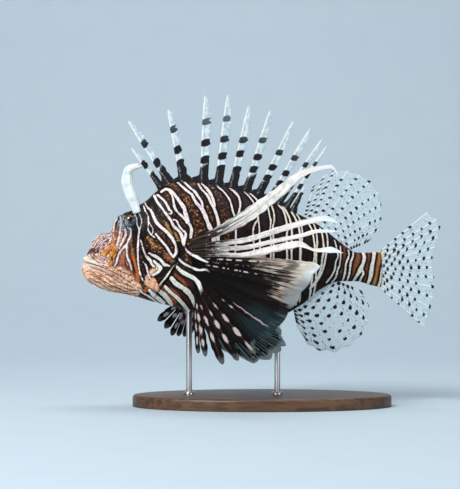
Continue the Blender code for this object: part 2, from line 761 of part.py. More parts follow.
def pelvic_fin(name, side, grown_body):
    share = np.linspace(0, 1, len(PELVIC_TIPS))
    x, out, rise = (first + (last - first) * share for first, last in zip(*PELVIC_ROOT))
    roots = np.stack([x, side * out, belly(x) + rise], axis=-1)
    ends = np.array([(x, side * out, z) for x, out, z in PELVIC_TIPS])
    bow = np.tile((0, side * PELVIC_BOW, 0), (len(PELVIC_TIPS), 1))
    lines = fan_lines(roots, ends, PELVIC_ROWS, bow)
    width = PELVIC_RAY_WIDTH * blunt(lengths_along(lines), start=0.75)
    web_rows = [PELVIC_ROWS - 1] * (len(PELVIC_TIPS) - 1)
    fin = rayed_fin(name, lines, width, width, web_rows, PELVIC_ROOT_THICK)
    trim_to_skin(fin, grown_body)


def blade(name, side, path, thick, rows, grown_body):
    """A soft tapering blade along a path, such as a feeler or a skin tag."""
    t = np.linspace(0, 1, rows)
    line = along([(x, side * out, z) for x, out, z, _ in path], t)
    width = smooth(np.linspace(0, 1, len(path)), [row[3] for row in path], t)
    across = unit(np.cross(unit(np.gradient(line, axis=0)), [0, 1, 0]))
    shares = (-1, -BLADE_EDGE, BLADE_EDGE, 1)
    points = np.concatenate([line + across * (width * s)[:, None] for s in shares])
    half = np.concatenate([np.full(rows, thick * (BLADE_EDGE if abs(s) == 1 else 1)) for s in shares])
    triangles = []
    for column in range(len(shares) - 1):
        for k in range(rows - 1):
            a, b = column * rows + k, (column + 1) * rows + k
            triangles += [(a, b, b + 1), (a, b + 1, a + 1)]
    trim_to_skin(thick_sheet(name, points, half, triangles), grown_body)


def body_nodes(body):
    """Parts the body at the mouth, the gill opening and two seams, and cuts its sockets and nostrils."""
    gills = curved_slab("gill_cut", GILL_LINE, [GAP] * 2)
    boolean(body, "DIFFERENCE", [gills])
    head, trunk = split_in_two(body, "head", "trunk")
    boolean(trunk, "DIFFERENCE", [curved_slab("trunk_cut", TRUNK_SEAM, [GAP] * 2)])
    _, rear = split_in_two(trunk, "trunk_front", "trunk_rear")
    boolean(rear, "DIFFERENCE", [curved_slab("tail_cut", TAIL_SEAM, [GAP] * 2)])
    split_in_two(rear, "trunk_rear", "tail_base")
    for side, sign in SIDES.items():
        cover = copy_of(head, "gill_cover_" + side)
        inner, outer = sign * GILL_COVER_INNER_Y, sign * COVER_CUT_REACH
        boolean(cover, "INTERSECT", [side_prism("cover_block", GILL_COVER, inner, outer)])
        keep_largest(cover)
    cutters = []
    for sign in SIDES.values():
        outline = grown_outline(GILL_COVER, GAP)
        inner, outer = sign * (GILL_COVER_INNER_Y - GAP), sign * COVER_CUT_REACH
        cutters.append(side_prism("cover_room", outline, inner, outer))
        x, out, z = EYE_CENTRE
        cutters.append(ball("socket", (x, sign * out, z), EYE_RADIUS + GAP))
        for (nx, nz), radius in NOSTRILS:
            out = float(side_y(nx, nz))
            inner = (nx, sign * (out - NOSTRIL_DEPTH), nz)
            outer = (nx, sign * (out + NOSTRIL_CUT_OUT), nz)
            cutters.append(cylinder_between("nostril", inner, outer, radius, 10))
    boolean(head, "DIFFERENCE", cutters)
    keep_largest(head)
    boolean(head, "DIFFERENCE", [curved_slab("mouth_cut", MOUTH_LINE + JAW_BACK, MOUTH_OPEN)])
    pieces = shells(head)
    jaw = copy_of(head, "lower_jaw")
    keep_faces(jaw, set(pieces[1][1]))
    keep_faces(head, set(pieces[0][1]))


def eyes():
    for side, sign in SIDES.items():
        x, out, z = EYE_CENTRE
        ball("eye_" + side, (x, sign * out, z), EYE_RADIUS)


def stand(grown_body):
    """A flat oval base and two rods that end a small gap under the belly."""
    angle = np.linspace(0, 2 * math.pi, BASE_SIDES, endpoint=False)
    side_profile = [
        (BASE_FOOT_EDGE, 0),
        (0, BASE_FOOT_EDGE),
        (0, BASE_HEIGHT - BASE_EDGE),
        (BASE_EDGE, BASE_HEIGHT),
    ]
    rings = []
    for inset, z in side_profile:
        a, b = BASE_LENGTH / 2 - inset, BASE_WIDTH / 2 - inset
        rings.append(np.stack([a * np.cos(angle), b * np.sin(angle), z + 0 * angle], axis=-1))
    closed_loft("stand_base", np.array(rings))
    for name, x in ROD_XS.items():
        top = float(belly(x)) + ROD_INTO_BODY
        rod = cylinder_between(name, (x, 0, BASE_HEIGHT + GAP), (x, 0, top), ROD_RADIUS)
        trim_to_skin(rod, grown_body)


def paint(name, colour, roughness, metallic=0.0):
    """Gives a node its own plain material."""
    material = bpy.data.materials.new(name)
    material.use_nodes = True
    shader = material.node_tree.nodes["Principled BSDF"]
    shader.inputs["Base Color"].default_value = (*colour, 1)
    shader.inputs["Roughness"].default_value = roughness
    shader.inputs["Metallic"].default_value = metallic
    mesh = bpy.data.objects[name].data
    mesh.materials.clear()
    mesh.materials.append(material)


NODE_COLOURS = {
    "head": ((0.55, 0.27, 0.16), 0.5),
    "lower_jaw": ((0.78, 0.52, 0.42), 0.5),
    "gill_cover_left": ((0.5, 0.24, 0.15), 0.5),
    "gill_cover_right": ((0.5, 0.24, 0.15), 0.5),
    "trunk_front": ((0.28, 0.11, 0.07), 0.5),
    "trunk_rear": ((0.3, 0.13, 0.08), 0.5),
    "tail_base": ((0.42, 0.19, 0.1), 0.5),
    "eye_left": ((0.03, 0.025, 0.02), 0.1),
    "eye_right": ((0.03, 0.025, 0.02), 0.1),
    "feeler_left": ((0.85, 0.86, 0.82), 0.6),
    "feeler_right": ((0.85, 0.86, 0.82), 0.6),
    "snout_tag_left": ((0.1, 0.06, 0.05), 0.6),
    "snout_tag_right": ((0.1, 0.06, 0.05), 0.6),
    "cheek_flap_left": ((0.62, 0.42, 0.3), 0.6),
    "cheek_flap_right": ((0.62, 0.42, 0.3), 0.6),
    "back_fin_spines": ((0.62, 0.6, 0.56), 0.5),
    "back_fin_soft": ((0.78, 0.8, 0.78), 0.4),
    "anal_fin": ((0.78, 0.8, 0.78), 0.4),
    "tail_fin": ((0.78, 0.8, 0.78), 0.4),
    "breast_fin_left": ((0.12, 0.09, 0.08), 0.6),
    "breast_fin_right": ((0.12, 0.09, 0.08), 0.6),
    "pelvic_fin_left": ((0.08, 0.08, 0.08), 0.6),
    "pelvic_fin_right": ((0.08, 0.08, 0.08), 0.6),
    "stand_base": ((0.16, 0.09, 0.05), 0.4),
    "stand_rod_front": ((0.7, 0.7, 0.72), 0.25, 1.0),
    "stand_rod_rear": ((0.7, 0.7, 0.72), 0.25, 1.0),
}


def build():
    for obj in list(bpy.data.objects):
        bpy.data.objects.remove(obj)
    body = body_solid()
    grown = grown_copy(body, "grown_body", GAP)
    spiny_back_fin(grown)
    middle_fins(grown)
    breast_fin("breast_fin_left", -1, LEFT_BREAST_TIPS, TOP_RIBBON, grown)
    breast_fin("breast_fin_right", 1, RIGHT_BREAST_TIPS, None, grown)
    for side, sign in SIDES.items():
        pelvic_fin("pelvic_fin_" + side, sign, grown)
        blade("feeler_" + side, sign, FEELER, FEELER_THICK, FEELER_ROWS, grown)
        blade("snout_tag_" + side, sign, SNOUT_TAG, TAG_THICK, TAG_ROWS, grown)
        blade("cheek_flap_" + side, sign, CHEEK_FLAP, TAG_THICK, TAG_ROWS, grown)
    stand(grown)
    remove(grown)
    body_nodes(body)
    eyes()
    for name, look in NODE_COLOURS.items():
        paint(name, *look)


build()
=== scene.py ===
"""A red lionfish, life size and still, held over a flat oval base by two rods.

Lengths are in millimetres until a mesh takes them, and MM makes them metres. The snout points to -X, the
tail to +X and up is +Z, so the fish's left side faces -Y, towards the camera.
"""

import math

import bpy
import numpy as np
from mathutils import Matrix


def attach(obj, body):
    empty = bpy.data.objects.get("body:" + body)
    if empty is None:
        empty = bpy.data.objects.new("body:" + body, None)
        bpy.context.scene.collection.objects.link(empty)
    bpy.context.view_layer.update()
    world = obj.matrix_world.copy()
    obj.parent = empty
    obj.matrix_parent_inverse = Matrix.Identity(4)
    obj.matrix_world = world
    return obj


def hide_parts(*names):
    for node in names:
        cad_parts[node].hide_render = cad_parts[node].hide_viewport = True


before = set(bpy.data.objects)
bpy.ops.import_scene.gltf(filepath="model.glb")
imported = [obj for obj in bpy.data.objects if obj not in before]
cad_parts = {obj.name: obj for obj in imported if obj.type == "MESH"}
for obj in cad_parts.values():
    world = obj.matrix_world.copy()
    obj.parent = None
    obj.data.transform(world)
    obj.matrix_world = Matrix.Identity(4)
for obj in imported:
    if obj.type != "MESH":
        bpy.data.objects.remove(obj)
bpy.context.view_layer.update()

# The camera looks level and square at the fish's left side, from far enough back that the fins which reach
# towards it grow only a little, as in the photograph. Its view is 460 by 489 pixels of 0.85 mm at the fish.
MM = 0.001
PIXEL = 0.85
VIEW_DISTANCE = 1600.0
VIEW_X = -27.2
VIEW_Z = 137.3
VIEW_HEIGHT = 489 * PIXEL
SENSOR_HEIGHT = 24.0

scene = bpy.context.scene
view = bpy.data.cameras.new("camera")
view.sensor_fit = "VERTICAL"
view.sensor_height = SENSOR_HEIGHT
view.lens = SENSOR_HEIGHT * VIEW_DISTANCE / VIEW_HEIGHT
camera = bpy.data.objects.new("camera", view)
camera.location = (VIEW_X * MM, -VIEW_DISTANCE * MM, VIEW_Z * MM)
camera.rotation_euler = (math.radians(90), 0, 0)
scene.collection.objects.link(camera)
scene.camera = camera

# The display base is a flat oval board of dark hardwood. Its top edge is rounded over and its faces are
# rubbed with satin oil, which leaves the grain open.
BASE_LENGTH = 220.0
BASE_WIDTH = 120.0
BASE_HEIGHT = 10.0
BASE_TOP_EDGE = 2.5
BASE_FOOT_EDGE = 1.0
# How near an edge stands to the height at which it is looked for
LEVEL = 0.1


def maths(operation, reflected=False):
    """A method that joins values with one Math node, the other way round where it is reflected."""

    def join(*values):
        ordered = values[::-1] if reflected else values
        return values[0].finish.node("Math", {"operation": operation}, dict(enumerate(ordered)))

    return join


class Value:
    """One output socket in a material's nodes, which Python's operators join with Math nodes."""

    def __init__(self, finish, socket):
        self.finish = finish
        self.socket = socket

    __add__ = __radd__ = maths("ADD")
    __mul__ = __rmul__ = maths("MULTIPLY")
    __sub__ = maths("SUBTRACT")
    __rsub__ = maths("SUBTRACT", reflected=True)
    __truediv__ = maths("DIVIDE")
    __rtruediv__ = maths("DIVIDE", reflected=True)
    __abs__ = maths("ABSOLUTE")
    least = maths("MINIMUM")
    most = maths("MAXIMUM")
    whole = maths("FLOOR")
    part = maths("FRACT")
    wave = maths("SINE")
    root = maths("SQRT")

    def rise(self, start, end, low=0.0, high=1.0):
        """0 below start and 1 above end, with a soft step between."""
        settings = {"interpolation_type": "SMOOTHSTEP"}
        values = {"Value": self, "From Min": start, "From Max": end, "To Min": low, "To Max": high}
        return self.finish.node("MapRange", settings, values)

    def fall(self, start, end):
        """1 below start and 0 above end."""
        return self.rise(start, end, 1.0, 0.0)

    def between(self, start, full, fading, end):
        """0 below start, 1 from full to fading and 0 above end."""
        return self.rise(start, full) * self.fall(fading, end)

    def near(self, centre, inner, outer):
        """1 where the value is within inner of a centre and 0 where it is further than outer."""
        return abs(self - centre).fall(inner, outer)


class Finish:
    """A material, whose nodes are all made by one method."""

    def __init__(self, name):
        self.material = bpy.data.materials.new(name)
        self.material.use_nodes = True
        self.tree = self.material.node_tree
        self.shader = self.tree.nodes["Principled BSDF"]
        self.colour = None

    def node(self, kind, settings, values, output=0):
        made = self.tree.nodes.new("ShaderNode" + kind)
        for key, setting in settings.items():
            if key == "stops":
                ramp = made.color_ramp
                ramp.elements.remove(ramp.elements[-1])
                ramp.elements[0].position = setting[0][0]
                ramp.elements[0].color = (*setting[0][1], 1)
                for place, colour in setting[1:]:
                    ramp.elements.new(place).color = (*colour, 1)
            else:
                setattr(made, key, setting)
        for key, value in values.items():
            if isinstance(value, Value):
                self.tree.links.new(value.socket, made.inputs[key])
            else:
                made.inputs[key].default_value = value
        return Value(self, made.outputs[output])

    def place(self, stretch=(1, 1, 1)):
        """The point on the object, in millimetres, stretched for a pattern that runs one way."""
        point = self.node("TexCoord", {}, {}, "Object")
        scale = tuple(s / MM for s in stretch)
        return self.node("VectorMath", {"operation": "MULTIPLY"}, {0: point, 1: scale})

    def axis(self, name):
        return self.node("SeparateXYZ", {}, {0: self.place()}, name)

    def attribute(self, name):
        return self.node("Attribute", {"attribute_name": name}, {}, "Fac")

    def noise(self, size, detail=2.0, stretch=(1, 1, 1), rough=0.5):
        """Noise from 0 to 1, with features of about a size in millimetres."""
        values = {"Vector": self.place(stretch), "Scale": 1 / size, "Detail": detail, "Roughness": rough}
        return self.node("TexNoise", {}, values, "Fac")

    def ramp(self, value, *stops):
        return self.node("ValToRGB", {"stops": stops}, {"Fac": value}, "Color")

    def mix(self, factor, first, second):
        first, second = (c if isinstance(c, Value) else (*c, 1) for c in (first, second))
        return self.node("Mix", {"data_type": "RGBA"}, {0: factor, 6: first, 7: second}, 2)

    def lay(self, cover, colour):
        """Lays a colour over the finish's own one, as far as the cover says."""
        self.colour = self.mix(cover, self.colour, colour)

    def own_place(self, across=1, shift=0):
        """The two values of the piece's own UV map: across the rays, counted, and from root to tip."""
        uv = self.node("TexCoord", {}, {}, "UV")
        u, v = (self.node("SeparateXYZ", {}, {0: uv}, name) for name in "XY")
        return u * across + shift, v

    def combed(self, across, down, detail):
        """Noise that runs along the rays."""
        place = self.node("CombineXYZ", {}, {"X": across, "Y": down}, "Vector")
        return self.node("TexNoise", {}, {"Vector": place, "Scale": 1.0, "Detail": detail}, "Fac")

    def feed(self, **sockets):
        """Links or sets the shader's sockets, named with _ for each space."""
        for key, value in sockets.items():
            socket = self.shader.inputs[key.replace("_", " ")]
            if isinstance(value, Value):
                self.tree.links.new(value.socket, socket)
            elif isinstance(value, tuple):
                socket.default_value = (*value, 1)
            else:
                socket.default_value = value

    def bump(self, height, depth, strength=1.0):
        """Surface relief of a depth in millimetres."""
        values = {"Height": height, "Distance": depth * MM, "Strength": strength}
        self.feed(Normal=self.node("Bump", {}, values, "Normal"))


def clear_selection():
    if bpy.context.object and bpy.context.object.mode != "OBJECT":
        set_mode("OBJECT")
    bpy.ops.object.select_all(action="DESELECT")


def select_only(piece):
    clear_selection()
    piece.select_set(True)
    bpy.context.view_layer.objects.active = piece


def settle(piece, name, finish, slot, *nodes):
    """Names a finished piece, puts its place in its mesh and hides the model's parts that it stands for."""
    select_only(piece)
    bpy.ops.object.transform_apply(location=True, rotation=True, scale=True)
    piece.name = name
    piece.data.name = name
    piece.data.materials.clear()
    piece.data.materials.append(finish.material)
    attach(piece, "root")
    if nodes:
        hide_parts(*nodes)


def set_mode(mode):
    bpy.ops.object.mode_set(mode=mode)


def edge_bevel(piece, low, high, width, steps):
    """Rounds over the level edges between two heights."""
    select_only(piece)
    set_mode("EDIT")
    bpy.ops.mesh.select_mode(type="EDGE")
    bpy.ops.mesh.select_all(action="DESELECT")
    set_mode("OBJECT")
    for edge in piece.data.edges:
        heights = [piece.data.vertices[i].co.z for i in edge.vertices]
        edge.select = all(low * MM < height < high * MM for height in heights)
    set_mode("EDIT")
    bpy.ops.mesh.bevel(offset=width * MM, segments=steps, profile=0.5, affect="EDGES")
    bpy.ops.mesh.select_mode(type="VERT")
    set_mode("OBJECT")


def cylinder(radius, low, high, x=0.0, sides=40):
    """An upright cylinder between two heights."""
    clear_selection()
    middle = (x * MM, 0, (low + high) / 2 * MM)
    depth = (high - low) * MM
    bpy.ops.mesh.primitive_cylinder_add(vertices=sides, radius=radius * MM, depth=depth, location=middle)
    bpy.ops.object.transform_apply(location=True, rotation=True, scale=True)
    return bpy.context.object


def smooth_shading(piece, angle=40):
    select_only(piece)
    bpy.ops.object.shade_smooth_by_angle(angle=math.radians(angle))


base = cylinder(1.0, 0.0, BASE_HEIGHT, sides=128)
base.scale = (BASE_LENGTH / 2, BASE_WIDTH / 2, 1)
bpy.ops.object.transform_apply(location=True, rotation=True, scale=True)
edge_bevel(base, BASE_HEIGHT - LEVEL, BASE_HEIGHT + LEVEL, BASE_TOP_EDGE, 6)
edge_bevel(base, -LEVEL, LEVEL, BASE_FOOT_EDGE, 3)
smooth_shading(base)

oiled_wood = Finish("oiled_wood")
rings = oiled_wood.noise(9.0, 3.0, (0.08, 1.0, 1.0), 0.6)
pores = oiled_wood.noise(0.9, 2.0, (0.05, 1.0, 1.0))
grain = (rings * 26.0).wave() * 0.5 + 0.5
wood_shades = [(0.1, (0.05, 0.022, 0.011)), (0.9, (0.14, 0.066, 0.03))]
wood_colour = oiled_wood.ramp(grain * 0.6 + pores * 0.4, *wood_shades)
oiled_wood.feed(Base_Color=wood_colour, Roughness=0.34 + pores * 0.2)
oiled_wood.bump(grain * 0.3 + pores * 0.7, 0.12)
settle(base, "oval_base", oiled_wood, "stand_base", "stand_base")

# Two rods of satin steel stand in the base and end under the belly, where they hold the fish up. Each has a
# small turned collar where it enters the wood.
ROD_RADIUS = 2.5
ROD_XS = {"stand_rod_front": -62.0, "stand_rod_rear": 13.0}
ROD_INTO_BODY = 2.5
ROD_INTO_WOOD = 0.5
ROD_EDGE = 0.8
COLLAR_RADIUS = 4.6
COLLAR_HEIGHT = 2.2
COLLAR_INTO_WOOD = 0.2
COLLAR_EDGE = 0.9

# x, back, belly and half width of the body, from the chin to the end of the tail base
BODY_OUTLINE = [
    (-153.0, 119.6, 116.5, 1.3), (-151.0, 123.4, 111.4, 4.6), (-148.2, 127.8, 107.6, 7.0),
    (-144.6, 135.4, 104.8, 9.4), (-140.4, 142.0, 102.6, 11.2), (-135.0, 146.4, 100.2, 13.0),
    (-129.6, 146.6, 98.2, 14.4), (-126.8, 150.2, 97.4, 15.0), (-124.4, 157.0, 96.8, 15.5),
    (-120.4, 161.6, 96.0, 16.2), (-114.8, 164.8, 95.0, 17.2), (-107.0, 168.6, 93.4, 18.6),
    (-99.5, 173.6, 90.8, 20.2), (-86.7, 184.6, 87.2, 22.2), (-76.0, 190.0, 84.6, 23.2),
    (-61.2, 190.6, 80.4, 23.4), (-35.7, 186.8, 74.8, 22.2), (-10.2, 180.8, 73.0, 19.8),
    (15.3, 170.6, 76.8, 16.5), (34.9, 161.2, 87.0, 13.1), (49.3, 153.0, 99.0, 10.7),
    (66.3, 139.6, 106.0, 8.3), (80.0, 130.6, 106.0, 6.9), (92.0, 130.4, 103.0, 5.3),
    (102.0, 131.2, 100.6, 2.1),
]


def curve(xs, ys, x):
    """A smooth curve through the points that never overshoots them (monotone cubic)."""
    xs, ys, x = np.asarray(xs, float), np.asarray(ys, float), np.asarray(x, float)
    step = np.diff(xs)
    slope = np.diff(ys) / step
    inner = np.zeros(len(xs))
    same = slope[:-1] * slope[1:] > 0
    before, after = slope[:-1][same], slope[1:][same]
    inner[1:-1][same] = 2 * before * after / (before + after)
    inner[0], inner[-1] = slope[0], slope[-1]
    i = np.clip(np.searchsorted(xs, x) - 1, 0, len(xs) - 2)
    t = np.clip((x - xs[i]) / step[i], 0, 1)
    return (
        ys[i] * (1 + 2 * t) * (1 - t) ** 2
        + inner[i] * step[i] * t * (1 - t) ** 2
        + ys[i + 1] * t * t * (3 - 2 * t)
        - inner[i + 1] * step[i] * t * t * (1 - t)
    )


def outline(column, x):
    return curve([row[0] for row in BODY_OUTLINE], [row[column] for row in BODY_OUTLINE], x)


def back(x):
    return outline(1, x)


def belly(x):
    return outline(2, x)


def half_width(x):
    return outline(3, x)


satin_steel = Finish("satin_steel")
turning = satin_steel.noise(0.5, 2.0, (1.0, 1.0, 6.0))
satin_steel.feed(Base_Color=satin_steel.ramp(turning, (0, (0.5, 0.5, 0.52)), (1, (0.7, 0.7, 0.71))))
satin_steel.feed(Metallic=1.0, Roughness=0.22 + turning * 0.16)
satin_steel.bump(turning, 0.02)
for node_name, x in ROD_XS.items():
    top = float(belly(x)) + ROD_INTO_BODY
    rod = cylinder(ROD_RADIUS, BASE_HEIGHT - ROD_INTO_WOOD, top, x)
    edge_bevel(rod, top - LEVEL, top + LEVEL, ROD_EDGE, 3)
    collar_top = BASE_HEIGHT + COLLAR_HEIGHT
    collar = cylinder(COLLAR_RADIUS, BASE_HEIGHT - COLLAR_INTO_WOOD, collar_top, x, 48)
    edge_bevel(collar, collar_top - LEVEL, collar_top + LEVEL, COLLAR_EDGE, 4)
    rod.select_set(True)
    bpy.context.view_layer.objects.active = rod
    bpy.ops.object.join()
    smooth_shading(rod)
    settle(rod, node_name.replace("stand_", "satin_"), satin_steel, "stand_rod", node_name)

# The skin is one closed surface from the lips to the root of the tail fin, as on the fish: thin, moist and
# finely scaled over the trunk, bare and folded over the skull's ridges on the head. The mouth, the nostrils
# and the eye sockets are openings in it, and each gill cover ends in a free edge that stands over the slit.
SKIN_RINGS = 400
SKIN_SEGMENTS = 224
RING_SHARES = (0.0, 0.08, 0.47, 1.0)
RING_XS = (-153.2, -146.0, -75.0, 102.3)
SNOUT_ROUNDING = 0.9
TAIL_ROUNDING = 1.2
CROWN_TAPER = 0.16
# How square each cross section is, from 1 for an oval down: x and power
SQUARE_XS = (-160, -130, -80, 0, 110)
SQUARE_POWERS = (1, 0.86, 0.9, 1, 1)
SIDES = {"left": -1, "right": 1}

EYE_CENTRE = (-111.5, 8.8, 157.0)
eye_x, eye_out, eye_z = EYE_CENTRE
EYE_RADIUS = 6.8
EYE_SHOWN = 5.5
LID_THICK = 0.7
LID_SPREAD = 4.2
LID_WRINKLE = 0.25
SOCKET_GAP = 0.15

# Forms of the head and shoulder, the same on both sides: two ends, radius, push outwards
HEAD_FORMS = {
    "nostril hump": ((-141.0, 5.0, 138.0), (-135.0, 6.0, 144.0), 4.5, 1.5),
    "brow": ((-123.0, 7.5, 157.0), (-108.0, 10.5, 167.0), 5.0, 2.6),
    "trough between the eyes": ((-125.0, 0.0, 155.0), (-112.0, 0.0, 165.0), 4.5, -2.6),
    "upper jaw bone": ((-138.0, 11.0, 121.0), (-126.0, 14.5, 115.0), 3.4, 1.8),
    "cheek ridge": ((-128.0, 15.0, 136.0), (-100.0, 20.0, 132.0), 3.4, 2.0),
    "hollow below the eye": ((-122.0, 15.0, 146.0), (-106.0, 17.5, 143.0), 4.0, -1.6),
    "front edge of the gill cover": ((-104.0, 20.0, 128.0), (-100.0, 17.5, 104.0), 3.6, 1.1),
    "nape crest": ((-104.0, 10.5, 170.0), (-90.0, 11.0, 176.0), 4.5, 1.6),
    "chin": ((-146.0, 3.0, 107.0), (-128.0, 5.5, 99.0), 4.5, 0.9),
    "shoulder lobe": ((-62.0, 21.5, 136.0), (-56.0, 20.0, 102.0), 7.5, 2.4),
    "upper lip": ((-150.0, 2.0, 126.4), (-144.0, 8.0, 125.0), 2.2, 0.8),
    "snout ridge": ((-150.0, 3.0, 127.0), (-140.0, 3.0, 141.0), 2.2, 0.7),
    "fold behind the lip": ((-146.0, 9.0, 127.5), (-132.0, 13.0, 121.5), 1.4, -1.1),
    "lower lip fold": ((-147.0, 8.0, 115.0), (-128.0, 13.5, 109.5), 1.3, -1.0),
    "jaw bone edge": ((-146.0, 7.0, 109.0), (-120.0, 14.0, 101.0), 1.8, 1.0),
    "second jaw fold": ((-142.0, 8.5, 106.5), (-118.0, 14.0, 103.5), 1.1, -0.8),
    "cheek bone spine": ((-119.0, 17.0, 135.0), (-113.0, 18.0, 134.0), 1.7, 1.3),
    "rear cheek spine": ((-106.0, 19.0, 132.5), (-101.0, 20.0, 132.0), 1.8, 0.9),
    "upper gill spine": ((-92.0, 19.5, 146.0), (-82.0, 20.5, 145.0), 2.0, 0.8),
    "lower gill spine": ((-92.0, 20.5, 136.0), (-80.0, 21.0, 133.0), 2.0, 0.8),
    "gill cover edge, upper": ((-101.0, 18.5, 150.0), (-97.5, 20.5, 134.0), 1.8, 1.2),
    "gill cover edge, lower": ((-97.5, 20.5, 134.0), (-103.0, 18.0, 110.0), 1.8, 1.2),
    "groove behind that edge": ((-95.0, 20.5, 146.0), (-94.5, 20.5, 118.0), 2.0, -0.7),
    "brow spine": ((-119.0, 9.0, 163.0), (-115.0, 10.0, 165.0), 1.4, 0.8),
    "ear spine": ((-101.0, 14.0, 167.0), (-95.0, 15.0, 168.0), 2.0, 1.0),
    "nape spine": ((-92.0, 10.5, 177.0), (-87.0, 11.5, 180.0), 1.8, 1.0),
    "breast fin root": ((-64.0, 22.0, 137.0), (-60.0, 20.0, 106.0), 4.0, 1.4),
}
LIP_OUT = 1.9
LIP_WIDTH = 2.4
LIP_GROOVE = {"depth": 0.5, "from_mouth": 4.2, "width": 0.8, "end": -122}
MOUTH_LINE = [
    (-160.0, 125.4), (-152.0, 123.9), (-147.5, 122.5), (-143.6, 121.2), (-135.0, 118.4),
    (-127.0, 115.0), (-121.5, 111.5),
]
MOUTH_OPEN = [9.0, 3.6, 1.3, 0.9, 0.7, 0.5, 0.3]
MOUTH_WALL_SPAN = 4.0
GILL_LINE = [
    (-88.5, 182.0), (-81.0, 160.0), (-73.5, 143.0), (-70.0, 129.0), (-75.0, 116.0), (-84.5, 103.0),
    (-92.0, 91.0), (-95.0, 75.0),
]
GILL_SLIT = ((160.0, 150.0), (98.0, 90.0))
GILL_EDGE_OUT = 1.2
GILL_EDGE_RUN = 3.0
GILL_STEP_IN = 1.3
GILL_STEP_RUN = 2.2
NOSTRILS = [((-142.0, 132.5), 0.9), ((-133.5, 141.5), 1.1)]
NOSTRIL_RIM = 0.9
NOSTRIL_RIM_WIDTH = 0.7

UNEVEN = 0.14
RAISED_STRIPE = 0.4
SUNK_LINE = 0.35
# Height, size and seed of the unevenness of the head and of the trunk, which meet where the head ends
HEAD_END = -96
HEAD_FADE = 14
HEAD_LUMPS = [(0.30, 5.0, 1), (0.14, 2.2, 2)]
TRUNK_LUMPS = (0.16, 9.0, 3)
CREASE_HEIGHT = 0.4
CREASE_SIZE = 4.2
# The right side's markings stray from the left side's by ripples of a depth and a size
DRIFT_DEPTH = 2.2
DRIFT_SIZE = 34.0
DRIFT_FADE = 8.0
TAIL_STILL = 40
